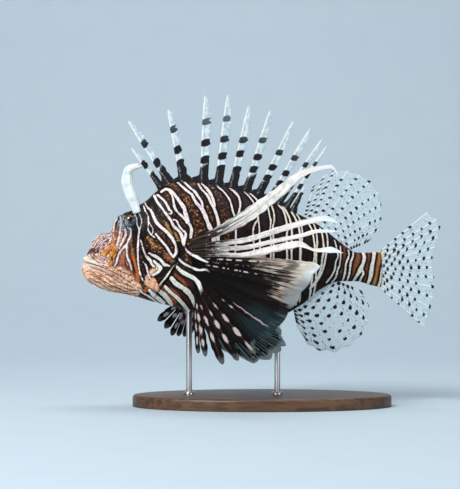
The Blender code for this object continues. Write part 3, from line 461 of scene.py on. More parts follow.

# The markings, drawn as lines on three sheets of small squares laid over the photograph. Each sheet
# has the pixel at its left edge, the squares to a pixel and how far its part of the flank stands out. A
# line has its sheet, its half width at the start, the middle and the end, and its points. White lines that
# lie side by side are in two lists, so that a narrow dark band stays between them.
HEAD = (78, 13, 12.0)
FRONT = (140, 12, 20.0)
REAR = (240, 10, 12.0)
SHEET_TOP = 180
MIDDLE_PIXEL = (262, 406)
MARKINGS = {
    "white_a": [
        (HEAD, 0.6, 1.0, 0.8, [
            (745, 395), (735, 440), (765, 500), (770, 570), (800, 650), (790, 740), (785, 860), (785, 950),
            (790, 1060), (800, 1160), (830, 1260), (850, 1310),
        ]),
        (HEAD, 0.7, 1.0, 0.8, [(548, 480), (565, 560), (550, 620), (545, 680), (530, 760), (510, 850)]),
        (HEAD, 0.8, 1.0, 0.9, [
            (690, 640), (690, 700), (665, 770), (640, 830), (580, 900), (540, 950), (520, 1020),
            (500, 1080), (480, 1130),
        ]),
        (HEAD, 0.9, 0.7, 0.8, [
            (500, 500), (470, 560), (460, 640), (430, 700), (330, 740), (260, 780), (210, 850), (150, 940),
            (120, 980),
        ]),
        (HEAD, 1.1, 0.8, 0.7, [(130, 970), (190, 1040), (290, 1090), (390, 1110)]),
        (HEAD, 0.9, 1.6, 1.2, [(870, 940), (900, 1000), (940, 1040), (960, 1090), (1000, 1130)]),
        (HEAD, 0.6, 1.1, 1.0, [(850, 1060), (890, 1110), (910, 1180), (930, 1250), (960, 1290)]),
        (HEAD, 0.5, 0.8, 0.5, [
            (1290, 1080), (1240, 1130), (1190, 1200), (1150, 1260), (1090, 1330), (1060, 1370),
        ]),
        (FRONT, 0.7, 0.7, 0.8, [
            (35, 300), (60, 370), (95, 440), (100, 520), (95, 590), (130, 650), (180, 690),
        ]),
        (FRONT, 0.6, 1.5, 1.3, [
            (40, 255), (80, 320), (140, 380), (160, 430), (200, 510), (260, 570), (310, 610), (370, 680),
            (410, 740), (440, 810), (440, 860), (400, 925),
        ]),
        (FRONT, 1.2, 1.1, 1.8, [
            (165, 185), (210, 270), (260, 330), (300, 390), (340, 440), (380, 500), (410, 560), (460, 600),
            (500, 660), (520, 730), (525, 770),
        ]),
        (FRONT, 1.2, 1.6, 2.0, [
            (250, 135), (310, 105), (350, 115), (400, 160), (450, 220), (490, 280), (530, 340), (545, 400),
            (560, 440), (570, 500),
        ]),
        (FRONT, 0.9, 2.0, 1.2, [
            (440, 15), (510, 80), (570, 130), (620, 170), (650, 230), (690, 290), (740, 340), (770, 400),
            (800, 470), (830, 550), (860, 610), (885, 670), (880, 800), (850, 960), (790, 1200),
            (730, 1480),
        ]),
        (FRONT, 0.9, 1.5, 1.1, [
            (695, 40), (740, 110), (790, 160), (820, 200), (850, 270), (880, 320), (910, 390), (930, 460),
            (945, 530), (940, 610), (935, 660), (950, 900), (930, 1200), (880, 1560),
        ]),
        (FRONT, 0.7, 0.9, 0.8, [
            (890, -10), (930, 70), (990, 120), (1040, 180), (1080, 240), (1100, 310), (1115, 380),
            (1150, 470), (1150, 700), (1130, 1050), (1060, 1640),
        ]),
        (REAR, 0.7, 0.8, 0.8, [
            (40, 110), (90, 160), (140, 230), (160, 290), (180, 360), (175, 410), (140, 450), (130, 540),
            (140, 700), (120, 1000), (60, 1380),
        ]),
        (REAR, 0.7, 0.8, 0.9, [
            (262, 220), (285, 290), (295, 350), (310, 420), (300, 490), (310, 620), (300, 900), (270, 1330),
        ]),
        (REAR, 0.8, 1.0, 1.0, [
            (365, 190), (390, 250), (430, 290), (455, 360), (470, 440), (480, 500), (465, 550), (470, 800),
            (455, 1100), (420, 1340),
        ]),
        (REAR, 0.9, 0.9, 0.8, [
            (520, 320), (550, 370), (575, 430), (590, 480), (600, 540), (600, 700), (590, 1000),
            (560, 1250),
        ]),
        (REAR, 0.8, 0.9, 0.9, [
            (685, 430), (710, 470), (730, 530), (740, 600), (750, 680), (745, 780), (735, 830), (720, 1000),
            (700, 1180),
        ]),
        (REAR, 0.8, 1.0, 1.1, [
            (805, 480), (825, 540), (835, 620), (840, 700), (825, 780), (815, 860), (790, 950), (740, 1040),
            (700, 1085),
        ]),
        (REAR, 0.6, 0.8, 0.9, [
            (950, 600), (975, 700), (985, 760), (960, 820), (950, 890), (920, 960), (870, 1025),
        ]),
        (REAR, 0.8, 0.9, 0.9, [
            (1090, 700), (1095, 740), (1060, 850), (1055, 920), (1035, 1000), (1020, 1040),
        ]),
        (REAR, 1.7, 1.9, 1.0, [
            (1240, 720), (1250, 770), (1230, 850), (1200, 910), (1160, 980), (1130, 1030),
        ]),
        (REAR, 1.8, 1.8, 1.5, [(1355, 700), (1345, 780), (1325, 880), (1310, 970), (1280, 1060)]),
        (FRONT, 0.8, 1.4, 0.6, [(550, 830), (600, 880), (680, 920), (760, 960), (820, 985)]),
        (FRONT, 1.6, 2.0, 1.0, [
            (450, 1050), (520, 1110), (600, 1150), (680, 1200), (720, 1260), (750, 1340), (780, 1420),
            (790, 1500),
        ]),
        (FRONT, 1.4, 1.7, 1.7, [(300, 1280), (370, 1350), (440, 1410), (520, 1500), (580, 1580)]),
        (HEAD, 1.4, 2.0, 1.8, [(930, 1430), (980, 1490), (1040, 1540), (1110, 1600)]),
    ],
    "white_b": [
        (HEAD, 0.5, 0.7, 0.6, [(765, 385), (800, 450), (830, 520), (820, 600), (800, 660)]),
        (HEAD, 0.7, 1.1, 0.7, [(610, 640), (625, 700), (600, 760), (560, 850), (540, 900)]),
        (HEAD, 0.7, 0.9, 0.7, [(640, 830), (640, 900), (640, 960), (660, 1030), (690, 1100), (700, 1160)]),
        (HEAD, 0.9, 1.3, 1.1, [(590, 510), (620, 550), (650, 600), (690, 650)]),
        (HEAD, 0.6, 0.8, 0.9, [(800, 760), (830, 810), (850, 880), (870, 930)]),
        (HEAD, 0.6, 0.6, 0.6, [(410, 745), (350, 780), (290, 810), (250, 870), (200, 900), (140, 960)]),
        (HEAD, 0.6, 0.5, 0.6, [(440, 735), (390, 830), (300, 900), (270, 970), (330, 1010), (420, 1060)]),
        (HEAD, 0.9, 1.4, 1.0, [
            (930, 950), (990, 980), (1050, 1010), (1100, 1060), (1130, 1100), (1190, 1110),
        ]),
        (HEAD, 1.0, 1.5, 1.0, [(990, 1050), (1040, 1100), (1080, 1140), (1050, 1190), (970, 1240)]),
        (FRONT, 0.5, 0.7, 0.5, [(100, 500), (130, 540), (155, 590), (150, 640), (130, 660)]),
        (FRONT, 0.8, 1.1, 0.9, [(190, 645), (250, 720), (320, 800), (360, 870), (400, 925)]),
        (FRONT, 0.8, 1.0, 1.4, [
            (400, 475), (440, 490), (465, 540), (500, 590), (550, 640), (545, 680), (525, 750),
        ]),
        (FRONT, 1.1, 1.1, 0.6, [
            (205, 175), (260, 220), (300, 260), (330, 310), (350, 350), (380, 380), (370, 410), (345, 400),
        ]),
        (FRONT, 0.9, 1.1, 1.5, [
            (350, 130), (380, 180), (400, 250), (410, 310), (440, 370), (480, 410), (520, 450), (560, 490),
            (600, 540), (620, 600), (610, 690),
        ]),
        (FRONT, 0.9, 1.1, 0.9, [
            (520, 10), (600, 90), (660, 140), (700, 200), (740, 260), (750, 310), (745, 350),
        ]),
        (FRONT, 0.9, 1.3, 1.0, [(735, 35), (810, 110), (850, 170), (880, 240), (895, 310)]),
        (FRONT, 0.8, 1.1, 0.7, [
            (1020, 10), (1080, 90), (1140, 140), (1190, 210), (1205, 290), (1190, 370), (1165, 450),
            (1150, 480),
        ]),
        (REAR, 0.7, 0.8, 0.7, [
            (85, 115), (130, 155), (170, 195), (188, 240), (195, 300), (180, 370), (190, 440), (195, 540),
            (200, 700), (190, 1000), (150, 1380),
        ]),
        (REAR, 0.7, 0.8, 0.8, [
            (300, 220), (320, 260), (340, 330), (345, 400), (325, 480), (335, 620), (330, 900), (310, 1330),
        ]),
        (REAR, 0.9, 1.0, 0.8, [
            (430, 260), (470, 320), (500, 390), (515, 460), (520, 520), (515, 640), (515, 900), (495, 1100),
            (470, 1320),
        ]),
        (REAR, 0.7, 0.8, 0.8, [
            (570, 340), (600, 390), (615, 450), (625, 520), (620, 620), (610, 720), (605, 800), (610, 1000),
            (600, 1220),
        ]),
        (REAR, 0.7, 0.9, 0.9, [
            (740, 440), (760, 490), (770, 560), (775, 620), (765, 720), (760, 830), (760, 1000),
            (740, 1150),
        ]),
        (REAR, 0.7, 0.9, 1.1, [
            (860, 500), (875, 560), (880, 640), (865, 730), (850, 820), (820, 920), (770, 1010),
            (705, 1085),
        ]),
        (REAR, 0.7, 0.8, 0.8, [(1010, 660), (1010, 740), (1000, 850), (980, 900), (965, 970), (925, 1025)]),
        (REAR, 0.7, 0.9, 0.9, [
            (1140, 690), (1140, 740), (1110, 830), (1100, 920), (1080, 1000), (1060, 1050),
        ]),
        (REAR, 0.9, 1.1, 1.0, [(1225, 900), (1240, 930), (1215, 990), (1200, 1040)]),
        (REAR, 1.2, 1.1, 1.2, [(1440, 690), (1455, 800), (1425, 900), (1415, 1000), (1390, 1080)]),
        (FRONT, 1.0, 1.1, 0.5, [
            (460, 940), (510, 990), (580, 1030), (650, 1060), (720, 1080), (800, 1070), (880, 1150),
        ]),
        (FRONT, 2.2, 2.4, 1.6, [
            (380, 1180), (430, 1240), (510, 1290), (580, 1350), (630, 1430), (660, 1520),
        ]),
        (HEAD, 0.7, 1.2, 1.1, [(790, 1400), (830, 1460), (900, 1500), (970, 1550), (1040, 1610)]),
        (HEAD, 1.6, 2.4, 2.0, [(1010, 1400), (1060, 1440), (1130, 1500), (1190, 1580), (1210, 1620)]),
    ],
    "orange": [
        (HEAD, 1.2, 2.0, 1.7, [(712, 860), (705, 920), (715, 1000), (740, 1100), (770, 1200), (795, 1290)]),
        (HEAD, 1.4, 2.3, 1.7, [(305, 975), (345, 940), (400, 900)]),
        (HEAD, 1.5, 2.7, 2.0, [(440, 850), (475, 900), (460, 965), (435, 1040), (430, 1100)]),
        (HEAD, 0.5, 0.9, 0.8, [(480, 600), (480, 660), (470, 730), (450, 800)]),
        (HEAD, 0.8, 1.3, 1.3, [(890, 720), (930, 780), (980, 830), (1020, 870)]),
        (HEAD, 1.0, 1.6, 1.2, [(1150, 960), (1185, 1010), (1215, 1045)]),
        (HEAD, 1.6, 2.2, 2.2, [(1090, 1370), (1150, 1440), (1210, 1510), (1250, 1590)]),
        (HEAD, 0.9, 1.3, 0.9, [(1270, 1230), (1340, 1290), (1420, 1370)]),
        (HEAD, 1.5, 1.5, 1.7, [(870, 1440), (900, 1400), (960, 1440), (1010, 1500)]),
        (HEAD, 1.0, 1.4, 1.2, [(1200, 1400), (1260, 1450), (1310, 1510)]),
        (FRONT, 1.0, 1.8, 1.8, [(310, 520), (350, 580), (400, 640), (440, 700), (465, 750)]),
        (HEAD, 0.6, 1.0, 0.8, [(620, 900), (600, 980), (590, 1070), (600, 1130)]),
        (HEAD, 0.5, 0.9, 0.6, [(680, 900), (680, 1000), (710, 1100)]),
    ],
    "black": [
        (HEAD, 2.6, 4.4, 2.0, [(650, 420), (700, 520), (745, 610), (762, 700), (755, 790), (745, 850)]),
        (HEAD, 2.9, 3.2, 1.6, [(845, 370), (885, 510), (880, 640), (850, 740), (830, 840)]),
        (HEAD, 1.6, 2.0, 1.4, [(760, 400), (800, 470), (820, 560), (810, 660)]),
        (HEAD, 2.6, 4.0, 2.6, [(800, 290), (900, 270), (960, 230), (920, 330)]),
        (FRONT, 1.8, 2.2, 1.4, [(60, 250), (120, 280), (170, 330), (220, 400), (260, 470)]),
        (HEAD, 1.2, 1.2, 0.6, [(760, 880), (775, 1000), (805, 1150), (825, 1300)]),
        (HEAD, 0.6, 0.9, 0.5, [(690, 820), (682, 920), (695, 1020), (725, 1120), (750, 1220)]),
        (HEAD, 0.7, 0.9, 0.6, [(830, 930), (860, 1030), (900, 1130), (920, 1230)]),
        (HEAD, 0.8, 0.9, 0.6, [(900, 950), (960, 1040), (1010, 1150)]),
        (HEAD, 0.9, 1.3, 0.8, [(960, 1290), (1040, 1260), (1120, 1200), (1200, 1130)]),
        (HEAD, 0.4, 0.7, 0.5, [(610, 1010), (620, 1090), (660, 1150)]),
        (HEAD, 0.5, 0.6, 0.4, [(530, 900), (500, 990), (470, 1080)]),
        (HEAD, 0.6, 0.8, 0.6, [(200, 930), (240, 940), (270, 900)]),
        (HEAD, 0.4, 0.6, 0.4, [(440, 1000), (455, 1070), (440, 1130)]),
        (HEAD, 0.4, 0.6, 0.4, [(580, 640), (590, 700), (570, 770), (545, 830)]),
        (HEAD, 0.4, 0.6, 0.4, [(655, 700), (630, 790), (590, 870)]),
        (HEAD, 0.5, 0.7, 0.5, [(480, 570), (500, 640), (490, 720)]),
        (FRONT, 2.0, 3.4, 2.0, [(420, 900), (450, 830), (470, 780), (500, 860), (460, 920)]),
    ],
    "salmon": [
        (HEAD, 4.0, 5.5, 5.0, [
            (90, 1140), (200, 1200), (320, 1270), (450, 1340), (600, 1390), (740, 1410),
        ]),
        (HEAD, 4.0, 5.0, 4.0, [(450, 1180), (560, 1220), (690, 1290)]),
        (HEAD, 2.6, 3.0, 2.6, [(150, 970), (280, 1050), (390, 1110)]),
        (HEAD, 2.0, 2.4, 2.0, [(220, 830), (330, 740), (430, 720)]),
        (HEAD, 1.6, 2.0, 1.6, [(560, 700), (560, 800), (500, 900)]),
        (HEAD, 1.0, 1.6, 1.2, [(960, 1060), (1040, 1110), (960, 1200), (900, 1280)]),
        (HEAD, 2.0, 2.4, 2.0, [(900, 1330), (980, 1380), (1030, 1420)]),
    ],
    "brown": [
        (HEAD, 0.22, 0.25, 0.22, [
            (160, 1130), (250, 1160), (320, 1180), (380, 1220), (430, 1250), (480, 1300), (560, 1330),
            (640, 1370), (720, 1400),
        ]),
        (HEAD, 0.2, 0.28, 0.25, [
            (110, 1190), (180, 1200), (250, 1240), (300, 1250), (380, 1280), (440, 1330), (520, 1370),
            (600, 1400), (680, 1430), (780, 1440),
        ]),
        (HEAD, 0.25, 0.3, 0.25, [
            (150, 1270), (230, 1320), (300, 1350), (400, 1420), (480, 1450), (560, 1470),
        ]),
        (HEAD, 0.25, 0.35, 0.2, [(470, 1370), (540, 1410), (620, 1450), (700, 1440), (750, 1420)]),
        (HEAD, 0.2, 0.3, 0.2, [(330, 1330), (380, 1370), (450, 1400)]),
        (HEAD, 0.25, 0.35, 0.25, [(470, 730), (500, 600), (520, 510)]),
        (HEAD, 0.2, 0.3, 0.2, [(350, 720), (290, 760), (230, 820), (200, 880)]),
        (HEAD, 0.2, 0.3, 0.2, [(400, 770), (330, 830), (260, 890)]),
        (HEAD, 0.2, 0.3, 0.2, [(250, 760), (300, 710), (380, 690), (440, 700)]),
        (HEAD, 0.25, 0.4, 0.25, [(180, 900), (240, 850), (330, 790), (420, 740)]),
        (HEAD, 0.2, 0.3, 0.2, [(150, 930), (190, 960), (250, 1010), (330, 1060)]),
        (HEAD, 0.25, 0.4, 0.3, [(330, 1010), (380, 960), (440, 900)]),
        (HEAD, 0.25, 0.35, 0.25, [(420, 1080), (440, 1010), (480, 950), (520, 890)]),
        (HEAD, 0.2, 0.3, 0.2, [(130, 1290), (200, 1350), (300, 1410), (400, 1450)]),
        (HEAD, 0.2, 0.35, 0.25, [(230, 1280), (300, 1300), (380, 1340), (450, 1380), (540, 1420)]),
        (HEAD, 0.2, 0.3, 0.2, [(520, 1440), (620, 1480), (720, 1480), (820, 1460)]),
        (HEAD, 0.2, 0.3, 0.2, [(170, 1220), (260, 1270), (330, 1290)]),
        (HEAD, 0.2, 0.3, 0.2, [(690, 880), (680, 1000), (710, 1120), (730, 1230)]),
        (HEAD, 0.3, 0.35, 0.3, [(170, 1000), (240, 1060), (330, 1110), (420, 1150)]),
        (HEAD, 0.25, 0.35, 0.3, [(480, 1140), (540, 1180), (620, 1210), (700, 1250)]),
        (HEAD, 0.2, 0.3, 0.25, [(450, 1190), (530, 1230), (600, 1290), (690, 1340)]),
        (HEAD, 0.2, 0.3, 0.2, [(400, 1130), (460, 1110), (520, 1130)]),
    ],
}
CHEEK_DOTS = [
    (470, 1165), (500, 1215), (545, 1170), (560, 1240), (610, 1200), (600, 1270), (655, 1250), (650, 1310),
    (690, 1230), (700, 1300), (520, 1270), (570, 1310), (630, 1350), (460, 1230), (740, 1260),
]
# The marks are drawn wider than they are, by shares that change along the fish
WIDTH_SHARES = [(-110, 0.92), (-92, 0.74), (-40, 0.86), (200, 0.84)]
DOT_HALF = (0.4, 0.35, 0.35)
DOT_RUN = (16, 9)


def on_flank(sheet, points):
    """Drawn points in millimetres on the flank, as the camera sees it, to the nearest tenth."""
    left, squares, out = sheet
    nearness = VIEW_DISTANCE / (VIEW_DISTANCE - out)
    found = []
    for across, down in points:
        x = (left + across / squares - MIDDLE_PIXEL[0]) * PIXEL
        z = (MIDDLE_PIXEL[1] - SHEET_TOP - down / squares) * PIXEL
        place = (VIEW_X + (x - VIEW_X) / nearness, VIEW_Z + (z - VIEW_Z) / nearness)
        found.append(tuple(round(value, 1) for value in place))
    return found


def traced(rows, thinned):
    """A list's lines as half widths and points on the flank."""
    found = []
    for sheet, *halves, points in rows:
        line = on_flank(sheet, points)
        middle = sum(point[0] for point in line) / len(line)
        if thinned:
            share = next(share for end, share in WIDTH_SHARES if middle < end)
            halves = [round(half * share, 2) for half in halves]
        found.append((*halves, line))
    return found


MARKINGS["brown"] += [(HEAD, *DOT_HALF, [(x, z), (x + DOT_RUN[0], z + DOT_RUN[1])]) for x, z in CHEEK_DOTS]
MARKINGS = {name: traced(rows, name.startswith("white")) for name, rows in MARKINGS.items()}


def unit(v):
    return v / np.maximum(np.linalg.norm(v, axis=-1, keepdims=True), 1e-9)


def along(points, t):
    """Points at shares t of a smooth curve through a few points, spaced by its length."""
    points = np.asarray(points, float)
    run = np.concatenate([[0], np.cumsum(np.linalg.norm(np.diff(points, axis=0), axis=1))])
    return np.stack([curve(run / run[-1], column, t) for column in points.T], axis=-1)


def segment_distance(points, start, end):
    start, run = np.asarray(start, float), np.subtract(end, start)
    t = np.clip((points - start) @ run / (run @ run), 0, 1)
    return np.linalg.norm(points - start - t[..., None] * run, axis=-1)


def line_distance(points, line):
    """Distance to the nearest of a line's segments."""
    found = np.full(len(points), 1e3)
    for start, end in zip(line[:-1], line[1:]):
        found = np.minimum(found, segment_distance(points, start, end))
    return found


def side_of_line(points, line):
    """Signed distance to a line that runs downwards: above 0 towards the tail."""
    line = np.asarray(line, float)
    x_there = np.interp(-points[:, 1], -line[:, 1], line[:, 0])
    return line_distance(points, line) * np.sign(points[:, 0] - x_there)


def ripples(points, size, seed, waves=28):
    """Smooth unevenness between about -1 and 1, with bumps of about a size."""
    draw = np.random.default_rng(seed)
    directions = unit(draw.normal(size=(waves, points.shape[1])))
    lengths = size * draw.uniform(0.75, 1.5, waves)
    phases = draw.uniform(0, 2 * math.pi, waves)
    angle = points @ (directions / lengths[:, None]).T * 2 * math.pi + phases
    return np.sin(angle).sum(1) / math.sqrt(waves) * 0.8


def marking_distance(points, markings):
    """Signed distance to the edge of the nearest marking, below 0 inside it."""
    found = np.full(len(points), 20.0)
    for number, (start, middle, end, line) in enumerate(markings):
        count = 3 * len(line)
        path = along(line, np.linspace(0, 1, count))
        low, high = path.min(0) - 8, path.max(0) + 8
        near = ((points > low) & (points < high)).all(1)
        if not near.any():
            continue
        there = points[near]
        halves = curve([0, 0.5, 1], [start, middle, end], np.linspace(0, 1, count))
        halves = halves * (1 + UNEVEN * ripples(path, 7.0, number))
        best = found[near]
        for i in range(count - 1):
            half = (halves[i] + halves[i + 1]) / 2
            best = np.minimum(best, segment_distance(there, path[i], path[i + 1]) - half)
        found[near] = best
    return found


def store(piece, name, values, domain="POINT"):
    """Keeps one number for each point or face of a mesh, for its material."""
    if name in piece.data.attributes:
        piece.data.attributes.remove(piece.data.attributes[name])
    piece.data.attributes.new(name, "FLOAT", domain).data.foreach_set("value", values.astype(np.float32))


def points_of(piece):
    flat = np.empty(3 * len(piece.data.vertices), np.float32)
    piece.data.vertices.foreach_get("co", flat)
    return flat.reshape(-1, 3).astype(float)


def move_points(piece, points):
    """Puts a mesh's points at new places, in millimetres."""
    piece.data.vertices.foreach_set("co", (points * MM).astype(np.float32).ravel())
    piece.data.update()


def normals_of(piece):
    flat = np.empty(3 * len(piece.data.vertices), np.float32)
    piece.data.vertex_normals.foreach_get("vector", flat)
    return flat.reshape(-1, 3).astype(float)


def face_outwards(piece):
    select_only(piece)
    set_mode("EDIT")
    bpy.ops.mesh.select_all(action="SELECT")
    bpy.ops.mesh.normals_make_consistent(inside=False)
    set_mode("OBJECT")


def cut_away(piece, cutters):
    """Takes closed shapes out of a piece with one Boolean."""
    group = bpy.data.collections.new("cutters")
    for cutter in cutters:
        group.objects.link(cutter)
    select_only(piece)
    cut = piece.modifiers.new("cut", "BOOLEAN")
    cut.operation = "DIFFERENCE"
    cut.operand_type = "COLLECTION"
    cut.collection = group
    cut.solver = "EXACT"
    bpy.ops.object.modifier_apply(modifier="cut")
    bpy.data.collections.remove(group)
    for cutter in cutters:
        bpy.data.objects.remove(cutter)


def smooth_step(t):
    t = np.clip(t, 0, 1)
    return t * t * (3 - 2 * t)


def ball_at(x, y, z, radius, segments=32, rings=20):
    clear_selection()
    bpy.ops.mesh.primitive_uv_sphere_add(
        segments=segments, ring_count=rings, radius=radius * MM, location=(x * MM, y * MM, z * MM)
    )
    return bpy.context.object


clear_selection()
bpy.ops.mesh.primitive_uv_sphere_add(segments=SKIN_SEGMENTS, ring_count=SKIN_RINGS, radius=1)
skin = bpy.context.object
on_ball = points_of(skin)
share = np.arccos(np.clip(on_ball[:, 2], -1, 1)) / math.pi
turn = np.arctan2(on_ball[:, 1], on_ball[:, 0])
x = curve(RING_SHARES, RING_XS, share)
square = curve(SQUARE_XS, SQUARE_POWERS, x)
across = np.sign(np.cos(turn)) * np.abs(np.cos(turn)) ** square
up = np.sign(np.sin(turn)) * np.abs(np.sin(turn)) ** square
closing = np.sqrt(np.clip((x - RING_XS[0]) / SNOUT_ROUNDING, 0, 1))
closing = closing * np.sqrt(np.clip((RING_XS[-1] - x) / TAIL_ROUNDING, 0, 1))
middle, half = (back(x) + belly(x)) / 2, (back(x) - belly(x)) / 2
wide = half_width(x) * across * (1 - CROWN_TAPER * up)
shape = np.stack([x, wide * closing, middle + half * up * closing], axis=-1)
move_points(skin, shape)
face_outwards(skin)

mirrored = np.stack([x, np.abs(shape[:, 1]), shape[:, 2]], axis=-1)
side_view = shape[:, [0, 2]]
push = np.zeros(len(shape))
for start, end, radius, out in HEAD_FORMS.values():
    push += out * np.exp(-((segment_distance(mirrored, start, end) / radius) ** 2))
lips = line_distance(side_view, MOUTH_LINE)
push += LIP_OUT * np.exp(-((lips / LIP_WIDTH) ** 2))
groove = np.exp(-(((lips - LIP_GROOVE["from_mouth"]) / LIP_GROOVE["width"]) ** 2))
push -= LIP_GROOVE["depth"] * groove * (x < LIP_GROOVE["end"])
gills = side_of_line(side_view, GILL_LINE)
(top, full_top), (full_end, end) = GILL_SLIT
slit = smooth_step((top - shape[:, 2]) / (top - full_top))
slit *= smooth_step((shape[:, 2] - end) / (full_end - end))
push += slit * GILL_EDGE_OUT * np.where(gills < 0, np.exp(gills / GILL_EDGE_RUN), 0)
push -= slit * GILL_STEP_IN * np.where(gills >= 0, np.exp(-gills / GILL_STEP_RUN), 0)
for (nostril_x, nostril_z), radius in NOSTRILS:
    from_nostril = np.hypot(x - nostril_x, shape[:, 2] - nostril_z)
    push += NOSTRIL_RIM * np.exp(-(((from_nostril - radius) / NOSTRIL_RIM_WIDTH - 1) ** 2))
on_head = smooth_step((HEAD_END - x) / HEAD_FADE)
creases = smooth_step(np.abs(ripples(shape * [1.0, 1.0, 0.45], CREASE_SIZE, 6)) * 1.6)
lumps = sum(height * ripples(shape, *lump) for height, *lump in HEAD_LUMPS)
push += on_head * (lumps + CREASE_HEIGHT * creases)
push += (1 - on_head) * TRUNK_LUMPS[0] * ripples(shape, *TRUNK_LUMPS[1:])
stripes = np.minimum(*(marking_distance(side_view, MARKINGS[name]) for name in ("white_a", "white_b")))
push += on_head * RAISED_STRIPE * smooth_step(0.6 - stripes)
push -= on_head * SUNK_LINE * smooth_step(1 - marking_distance(side_view, MARKINGS["brown"]) / 0.5)
shape = shape + normals_of(skin) * push[:, None]

for sign in SIDES.values():
    from_eye = np.hypot(shape[:, 0] - eye_x, shape[:, 2] - eye_z)
    own_side = shape[:, 1] * sign > 2.0
    ball_front = np.sqrt(np.clip(EYE_RADIUS**2 - from_eye**2, 0, None))
    lid = eye_out + ball_front + LID_THICK
    hold = smooth_step((EYE_RADIUS + LID_SPREAD - from_eye) / (LID_SPREAD + 0.6)) * own_side
    wrinkle = LID_WRINKLE * np.sin((from_eye - EYE_SHOWN) * 3.2) * hold * (from_eye > EYE_SHOWN)
    shape[:, 1] += sign * hold * np.maximum(lid - shape[:, 1] * sign, 0) + sign * wrinkle
move_points(skin, shape)

tools = []
mouth = along(MOUTH_LINE, np.linspace(0, 1, 18))
openings = curve(np.linspace(0, 1, len(MOUTH_OPEN)), MOUTH_OPEN, np.linspace(0, 1, len(mouth)))
run = unit(np.gradient(mouth, axis=0))
upwards = np.stack([-run[:, 1], run[:, 0]], axis=-1) * openings[:, None] / 2
clear_selection()
bpy.ops.mesh.primitive_grid_add(x_subdivisions=1, y_subdivisions=len(mouth) - 1, size=2)
slot = bpy.context.object
grid = points_of(slot)
step = np.rint((grid[:, 1] + 1) / 2 * (len(mouth) - 1)).astype(int)
low_edge = mouth[step] - upwards[step]
move_points(slot, np.stack([low_edge[:, 0], grid[:, 0] * 60, low_edge[:, 1]], axis=-1))
set_mode("EDIT")
bpy.ops.mesh.select_all(action="SELECT")
bpy.ops.mesh.extrude_region_move()
set_mode("OBJECT")
corners = points_of(slot) / MM
lifted = np.array([vertex.select for vertex in slot.data.vertices])
low_line = mouth - upwards
nearest = np.array([np.argmin(np.hypot(*(low_line - corner[[0, 2]]).T)) for corner in corners])
lift = np.stack([2 * upwards[nearest, 0], 0 * nearest, 2 * upwards[nearest, 1]], axis=-1)
corners[lifted] += lift[lifted]
move_points(slot, corners)
face_outwards(slot)
tools.append(slot)
for sign in SIDES.values():
    tools.append(ball_at(eye_x, sign * eye_out, eye_z, EYE_RADIUS + SOCKET_GAP))
    clear_selection()
    opening = (eye_x * MM, sign * (eye_out + 9) * MM, eye_z * MM)
    bpy.ops.mesh.primitive_cylinder_add(
        vertices=48, radius=EYE_SHOWN * MM, depth=14 * MM, location=opening, rotation=(math.pi / 2, 0, 0)
    )
    tools.append(bpy.context.object)
    for (nostril_x, nostril_z), radius in NOSTRILS:
        nearby = np.hypot(shape[:, 0] - nostril_x, shape[:, 2] - nostril_z) + 50 * (shape[:, 1] * sign < 0)
        surface = shape[np.argmin(nearby), 1]
        tools.append(ball_at(nostril_x, surface, nostril_z, radius * 1.3, 16, 10))
cut_away(skin, tools)
smooth_shading(skin, 50)

shape = points_of(skin) / MM
# The walls of the mouth are the only faces that reach from one side of the snout to the other
spans = [np.ptp(shape[list(polygon.vertices), 1]) for polygon in skin.data.polygons]
store(skin, "in_mouth", np.array(spans) > MOUTH_WALL_SPAN, "FACE")
side_view = shape[:, [0, 2]]
drift = np.stack([ripples(shape, DRIFT_SIZE, seed) for seed in (4, 5)], axis=-1) * DRIFT_DEPTH
drift *= smooth_step(shape[:, 1] / DRIFT_FADE)[:, None]
drift *= smooth_step((x.max() - shape[:, 0]) / TAIL_STILL - 1)[:, None]
side_view = side_view + drift
for name, lines in MARKINGS.items():
    store(skin, name, marking_distance(side_view, lines))
store(skin, "gills", side_of_line(side_view, GILL_LINE))
store(skin, "below_back", back(shape[:, 0]) - shape[:, 2])
store(skin, "lips", line_distance(side_view, MOUTH_LINE))
store(skin, "from_eye", np.hypot(shape[:, 0] - eye_x, shape[:, 2] - eye_z))

coat = Finish("striped_skin")
NIGHT = (0.005, 0.003, 0.003)
x_here = coat.axis("X")
z_here = coat.axis("Z")
fine = coat.noise(1.0, 2.0)
medium = coat.noise(2.6, 2.0)
broad = coat.noise(6.0, 3.0)
crumbs = coat.noise(1.5, 3.0, (1, 1, 1), 0.7)
threads = coat.noise(3.4, 3.0, (0.4, 1, 1))
streams = coat.noise(3.0, 3.0, (1, 1, 0.3), 0.6)
from_eye = coat.attribute("from_eye") + (broad - 0.5) * 4
on_head = (x_here + broad * 10).fall(-92, -82)
on_face = (x_here + broad * 8).fall(-108, -101) * z_here.fall(148, 156)
wander = (fine - 0.5) * (0.6 + on_head * 0.4) + (medium - 0.5) * (0.5 + on_head * 0.8) + (broad - 0.5) * 0.5
white_edge = coat.attribute("white_a").least(coat.attribute("white_b")) + wander
below_back = coat.attribute("below_back") + (broad - 0.5) * 14
band_centre = white_edge.rise(1.1, 3.0)

